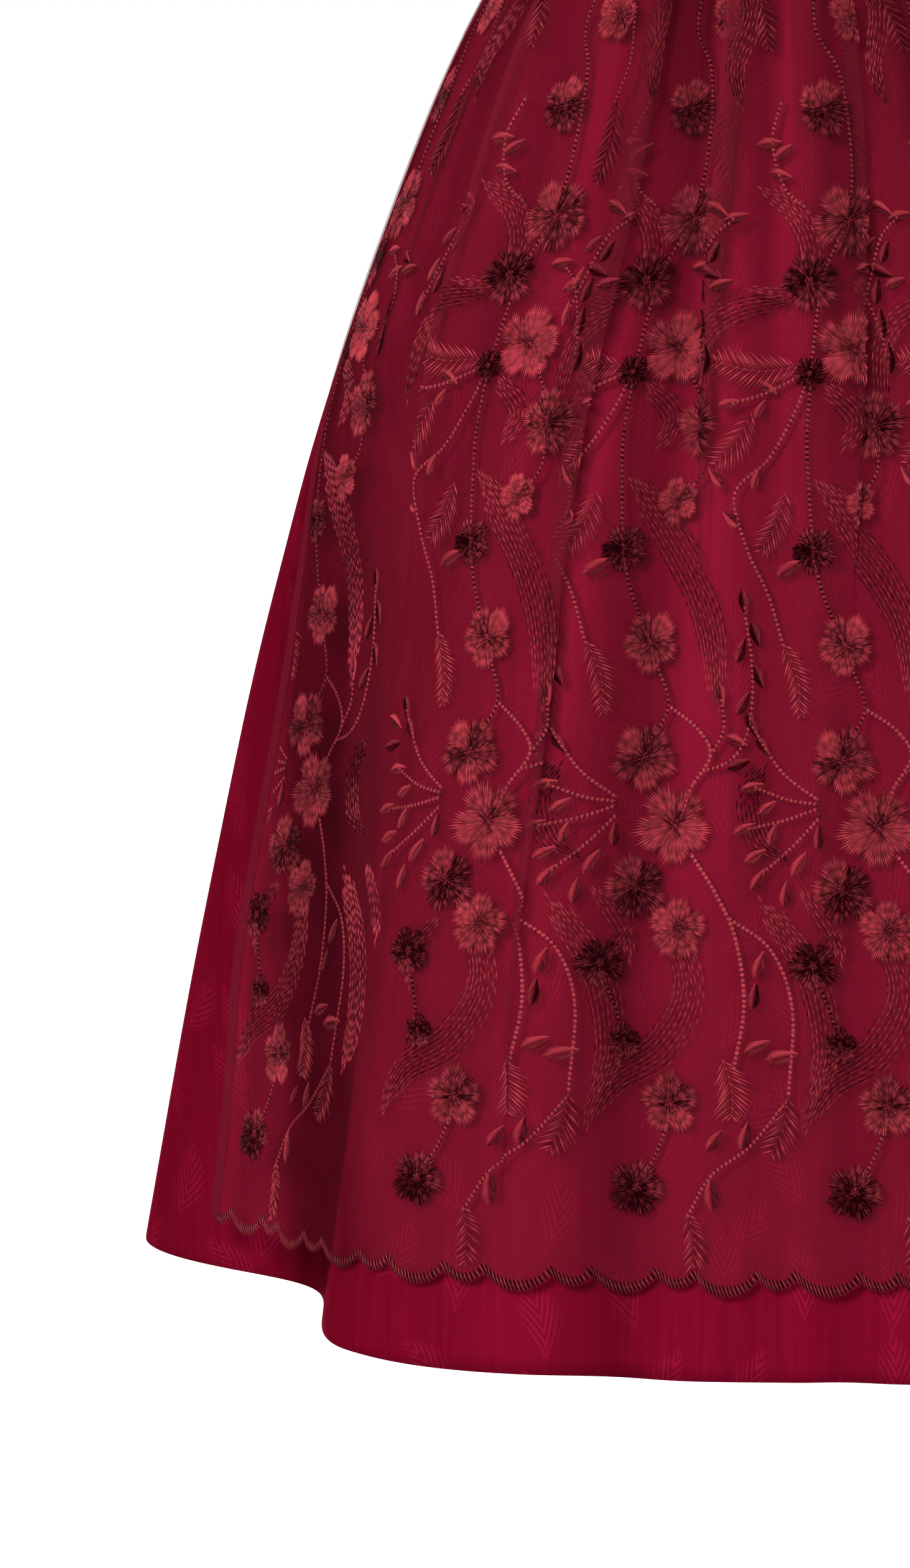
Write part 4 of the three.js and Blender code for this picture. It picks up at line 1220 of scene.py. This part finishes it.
class MakeClosure(bpy.types.Operator):
    """Make the front placket and its six buttons"""
    bl_idname = "dirndl.make_closure"
    bl_label = "Placket and buttons"

    def execute(self, context):
        angles = np.linspace(-PLACKET["half_angle"], PLACKET["half_angle"], 17)
        across, up = np.meshgrid(angles, np.linspace(1, PLACKET["foot"], 71))
        level = bodice_top(across) * up
        grid = on_body(across, bodice_radius(across, level) + PLACKET["lift"], level)
        satin_piece("front_placket", grid, (across * 0.002, up * 0.226), "Plain satin", "satin",
                    flat=(0.022, 0.195), held="stretched",
                    rests_on=["bodice_front_right", "bodice_front_left"])
        topstitch("placket_topstitching", edge_lines(grid, 0.003, "first", "last"), "satin")
        for number in range(1, BUTTONS + 1):
            self.make_button("button_" + str(number))
        return {"FINISHED"}

    def make_button(self, node):
        low, high = (Vector(corner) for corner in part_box(node))
        centre = (low + high) / 2
        radius = (high[0] - low[0]) / 2
        level = centre[2] / MM
        rise = bodice_radius(0, level + 4) - bodice_radius(0, level - 4)
        clear_selection()
        bpy.ops.mesh.primitive_cylinder_add(vertices=40, radius=radius, depth=0.0028)
        button = bpy.context.active_object
        button.name = node + "_finish"
        bpy.ops.object.mode_set(mode="EDIT")
        bpy.ops.mesh.select_mode(type="FACE")
        bpy.ops.mesh.select_all(action="DESELECT")
        mesh = bmesh.from_edit_mesh(button.data)
        for face in mesh.faces:
            face.select_set(face.normal.z > 0.9)
        bmesh.update_edit_mesh(button.data)
        for inset, step in BUTTON_STEPS:
            bpy.ops.mesh.inset(thickness=radius * inset)
            bpy.ops.transform.translate(value=(0, 0, step))
        bpy.ops.object.mode_set(mode="OBJECT")
        rounding = button.modifiers.new("Rounding", "BEVEL")
        rounding.width = 0.00035
        rounding.segments = 2
        rounding.limit_method = "ANGLE"
        apply_modifier(button, rounding)
        button.location = centre
        button.rotation_euler = (math.pi / 2 - math.atan(float(rise) / 8), 0, 0)
        button.select_set(True)
        bpy.ops.object.transform_apply(location=True, rotation=True, scale=True)
        button.data.materials.append(bpy.data.materials["Button gloss"])
        button.data.shade_smooth()
        finish_piece(button, [node], "button")


class MakeApron(bpy.types.Operator):
    """Make the gathered tulle apron with its turned sides"""
    bl_idname = "dirndl.make_apron"
    bl_label = "Tulle apron"

    def execute(self, context):
        net_map = NetMap()
        thin = sizes().net_thickness
        across, down = np.meshgrid(net_map.across, net_map.down * APRON_LENGTH)
        net = cloth_piece("apron_net", net_map.points, (across * MM, -down * MM), "Tulle net",
                          thin, net_map.shade)
        edges = []
        for name, side in (("right", 1), ("left", -1)):
            places = side * np.linspace(APRON_HALF_WIDTH - EDGE_WIDTH, APRON_HALF_WIDTH, 5)[::side]
            across, down = np.meshgrid(places, np.linspace(0, APRON_LENGTH, 161))
            grid, facing = (net_map.read(values, across.ravel(), down.ravel())
                            for values in (net_map.points, net_map.normals))
            grid = (grid + facing * EDGE_LIFT * MM).reshape(*across.shape, 3)
            # The turned edge is darkened all over with painted shade
            edge = cloth_piece("apron_edge_" + name, grid, (across * MM, -down * MM),
                               "Turned tulle", thin, np.full(across.shape, EDGE_SHADE))
            finish_piece(edge, [], "tulle")
            edges.append(edge)
        finish_piece(net, ["apron_panel"], "tulle", held="gathered", rests_on=["apron_band"],
                     flat=(2 * APRON_HALF_WIDTH * MM, APRON_LENGTH * MM), with_pieces=edges)
        return {"FINISHED"}


class MakeEmbroidery(bpy.types.Operator):
    """Stitch the flowers, stems, leaves, plumes and scalloped border on the net"""
    bl_idname = "dirndl.make_embroidery"
    bl_label = "Embroidery"

    def execute(self, context):
        net_map = NetMap()
        for name, make, table, lift in (("plumes", plume_stitches, MOTIF_PLUMES, 0.0),
                                        ("stems", stem_stitches, MOTIF_STEMS, 0.1),
                                        ("leaves", leaf_stitches, MOTIF_LEAVES, 0.15),
                                        ("buds", bud_stitches, MOTIF_BUDS, 0.2),
                                        ("flowers", flower_stitches, MOTIF_FLOWERS, 0.3)):
            net_map.stitch("embroidered_" + name, repeat_motif(make, table), lift)
        chance = np.random.default_rng(sizes().seed + 1)
        net_map.stitch("scalloped_border", border_stitches(chance), 0.1)
        return {"FINISHED"}


class MakeBandAndBow(bpy.types.Operator):
    """Make the apron's band, its ties and the bow at the back"""
    bl_idname = "dirndl.make_band_and_bow"
    bl_label = "Band, ties and bow"

    def execute(self, context):
        lines = []
        for row in BAND_STRETCHES:
            angles = np.linspace(row["from"], row["to"], int((row["to"] - row["from"]) / CLOTH_STEP))
            across, level = np.meshgrid(angles, np.linspace(32, -4, 19))
            edge = np.clip(2 - np.abs(level - 14) / 9, 0, 1)
            soft = 0.35 * np.sin(across / 4.7 + np.sin(across / 11)) * edge
            grid = on_body(across, waist_radius(across, level) + BAND["lift"] + soft, level)
            uv = np.radians(across - row["from"]) * BAND["radius"], level * MM
            satin_piece(row["node"], grid, uv, "Plain satin", "band", flat=row["flat"],
                        held="stretched", rests_on=[row["rests_on"]])
            lines += edge_lines(grid, 0.003, "top", "bottom")
        topstitch("band_topstitching", lines, "band")
        seat = float(waist_radius(180, KNOT["level"])) + KNOT["depth"] / 2 + KNOT["clear"]
        self.make_knot(seat)
        for name, side in (("left", 1), ("right", -1)):
            self.make_loop(name, side, seat)
            self.make_tail(name, side)
        return {"FINISHED"}

    def make_knot(self, seat):
        turns, heights = np.meshgrid(np.linspace(0, 360, 73), np.linspace(0.5, -0.5, 21))
        angle = np.radians(turns)
        belly = 1 - 0.18 * (2 * heights) ** 2
        crease = 0.35 * np.sin(angle * 5 + heights * 3) * (1 - (2 * heights) ** 4)
        wide, deep = (KNOT[key] / 2 - 0.8 + crease for key in ("width", "depth"))
        grid = np.stack([-wide * belly * np.sin(angle), seat - deep * belly * np.cos(angle),
                         KNOT["level"] + heights * KNOT["height"]], -1) * MM
        satin_piece("bow_knot", grid, (turns / 360 * 0.072, heights * 0.038), "Plain satin", "band",
                    flat=(0.072, 0.038), held="folded", rests_on=["apron_tie_left_satin"])

    def make_loop(self, name, side, seat):
        turns, heights = np.meshgrid(np.radians(np.linspace(8, 352, 87)), np.linspace(0.5, -0.5, 25))
        along, sine = (1 - np.cos(turns)) / 2, np.sin(turns)
        spread = LOOP["narrow"] + (1 - LOOP["narrow"]) * along
        crease = 1.3 * np.exp(-along * 2.6) * np.cos(heights * 6 * math.pi)
        bulge = sine * LOOP["bulge"] * spread * (1 - 0.10 * (2 * heights) ** 2)
        bulge = bulge + crease * np.sign(sine) * np.abs(sine) ** 0.3
        wide = LOOP["width"] * (0.62 + 0.38 * np.sin(np.clip(along * 2, 0, 1) * math.pi / 2))
        reach = KNOT["width"] / 2 - 2 + LOOP["length"] * along
        level = KNOT["level"] + heights * wide - LOOP["droop"] * along ** 2
        grid = np.stack([side * reach, seat + bulge, level], -1)[:, ::-side] * MM
        satin_piece("bow_loop_" + name, grid, (turns / (2 * math.pi) * 0.2, heights * 0.034),
                    "Plain satin", "band", flat=(0.195, 0.034), held="folded",
                    rests_on=["bow_knot_satin"])

    def make_tail(self, name, side):
        shares, widths = np.meshgrid(np.linspace(0, 1, 91), np.linspace(-0.5, 0.5, 21), indexing="ij")
        notch = 0.04 * (1 - np.abs(2 * widths)) * np.clip((shares - 0.9) / 0.1, 0, 1)
        level = APRON_TOP - (shares - notch) * TAIL["length"]
        gathered = 0.62 + 0.38 * np.clip(shares / 0.25, 0, 1) ** 0.7
        middle = side * (TAIL["offset"] + shares * TAIL["slant"])
        sine = (middle + widths * TAIL["width"] * gathered) / skirt_base(180, level)
        angle = 180 + np.degrees(np.arcsin(sine))
        drape = skirt_base(angle, level) + np.maximum(0, skirt_folding(angle, level, 0))
        ripple = TAIL["ripple"] * np.sin(shares * TAIL["waves"]) ** 2
        crease = 1.1 * (1 - shares) ** 2 * np.cos(widths * 5 * math.pi)
        grid = on_body(angle, drape + TAIL["lift"] + ripple + crease, level)
        satin_piece("bow_tail_" + name, grid, (widths * 0.038, shares * 0.33), "Plain satin", "band",
                    flat=(0.038, 0.33), held="hung", rests_on=["bow_knot_satin"])


class MakeStage(bpy.types.Operator):
    """Make the pale floor, the soft lights and the world"""
    bl_idname = "dirndl.make_stage"
    bl_label = "Stage"

    def execute(self, context):
        scene = context.scene
        clear_selection()
        bpy.ops.mesh.primitive_plane_add(size=40, location=(0, 0, 0))
        floor = context.active_object
        floor.name = "studio_floor"
        floor.data.transform(Matrix.Translation((0, 0, FLOOR_LEVEL)))
        tree, shader = new_material("Pale floor")
        grain = uneven_factor(tree, 0.02)
        feed(shader, {
            "Base Color": scaled_colour(tree, plain_colour(tree, (0.62, 0.61, 0.60)), grain),
            "Roughness": 0.8, "Emission Strength": 1.0,
            "Emission Color": add_node(tree, "ShaderNodeLightPath").outputs["Is Camera Ray"]})
        floor.data.materials.append(bpy.data.materials["Pale floor"])
        world = bpy.data.worlds.new("Studio")
        world.use_nodes = True
        tree = world.node_tree
        seen = add_node(tree, "ShaderNodeLightPath").outputs["Is Camera Ray"]
        feed(tree.nodes["Background"], {
            "Color": (1, 1, 1, 1),
            "Strength": maths(tree, "MULTIPLY_ADD", seen, 1 - SOFT_LIGHT, SOFT_LIGHT)})
        scene.world = world
        scene.view_settings.view_transform = "Standard"
        for row in STUDIO_LIGHTS:
            light = bpy.data.lights.new(row["name"], "AREA")
            light.energy = row["watts"]
            light.size = row["size"]
            place_looking(row["name"], light, row["place"], LIGHTS_TARGET)
        return {"FINISHED"}


def place_looking(name, data, place, target):
    """Puts a lamp or camera in its place, turned to a target."""
    piece = bpy.data.objects.new(name, data)
    piece.location = place
    piece.rotation_euler = (Vector(target) - Vector(place)).to_track_quat("-Z", "Y").to_euler()
    bpy.context.scene.collection.objects.link(piece)
    return piece


class MakeCamera(bpy.types.Operator):
    """Place the camera at the height and distance of the picture"""
    bl_idname = "dirndl.make_camera"
    bl_label = "Camera"

    def execute(self, context):
        camera = bpy.data.cameras.new("Close view")
        camera.sensor_width = 36
        camera.lens = CAMERA_LENS
        context.scene.camera = place_looking("Close view", camera, CAMERA_PLACE, CAMERA_TARGET)
        return {"FINISHED"}


class DirndlPanel(bpy.types.Panel):
    """Lists the dress's pieces with their sizes and colours"""
    bl_idname = "VIEW3D_PT_dirndl"
    bl_label = "Dirndl dress"
    bl_space_type = "VIEW_3D"
    bl_region_type = "UI"
    bl_category = "Dirndl"

    def draw(self, context):
        for group in (sizes(), colours()):
            for name in type(group).__annotations__:
                self.layout.prop(group, name)
        for operator in OPERATORS:
            self.layout.operator(operator.bl_idname)


OPERATORS = [MakeCamera, MakeFinishes, MakeSkirt, MakeBodice, MakeStraps, MakeClosure, MakeApron,
             MakeEmbroidery, MakeBandAndBow, MakeStage]
CLASSES = [DressSizes, DressColours, *OPERATORS, DirndlPanel]


def register():
    for item in CLASSES:
        bpy.utils.register_class(item)
    bpy.types.Scene.dirndl_sizes = PointerProperty(type=DressSizes)
    bpy.types.Scene.dirndl_colours = PointerProperty(type=DressColours)


def unregister():
    del bpy.types.Scene.dirndl_colours
    del bpy.types.Scene.dirndl_sizes
    for item in reversed(CLASSES):
        bpy.utils.unregister_class(item)


def main():
    register()
    for operator in OPERATORS:
        group, name = operator.bl_idname.split(".")
        getattr(getattr(bpy.ops, group), name)()


if __name__ == "__main__":
    main()
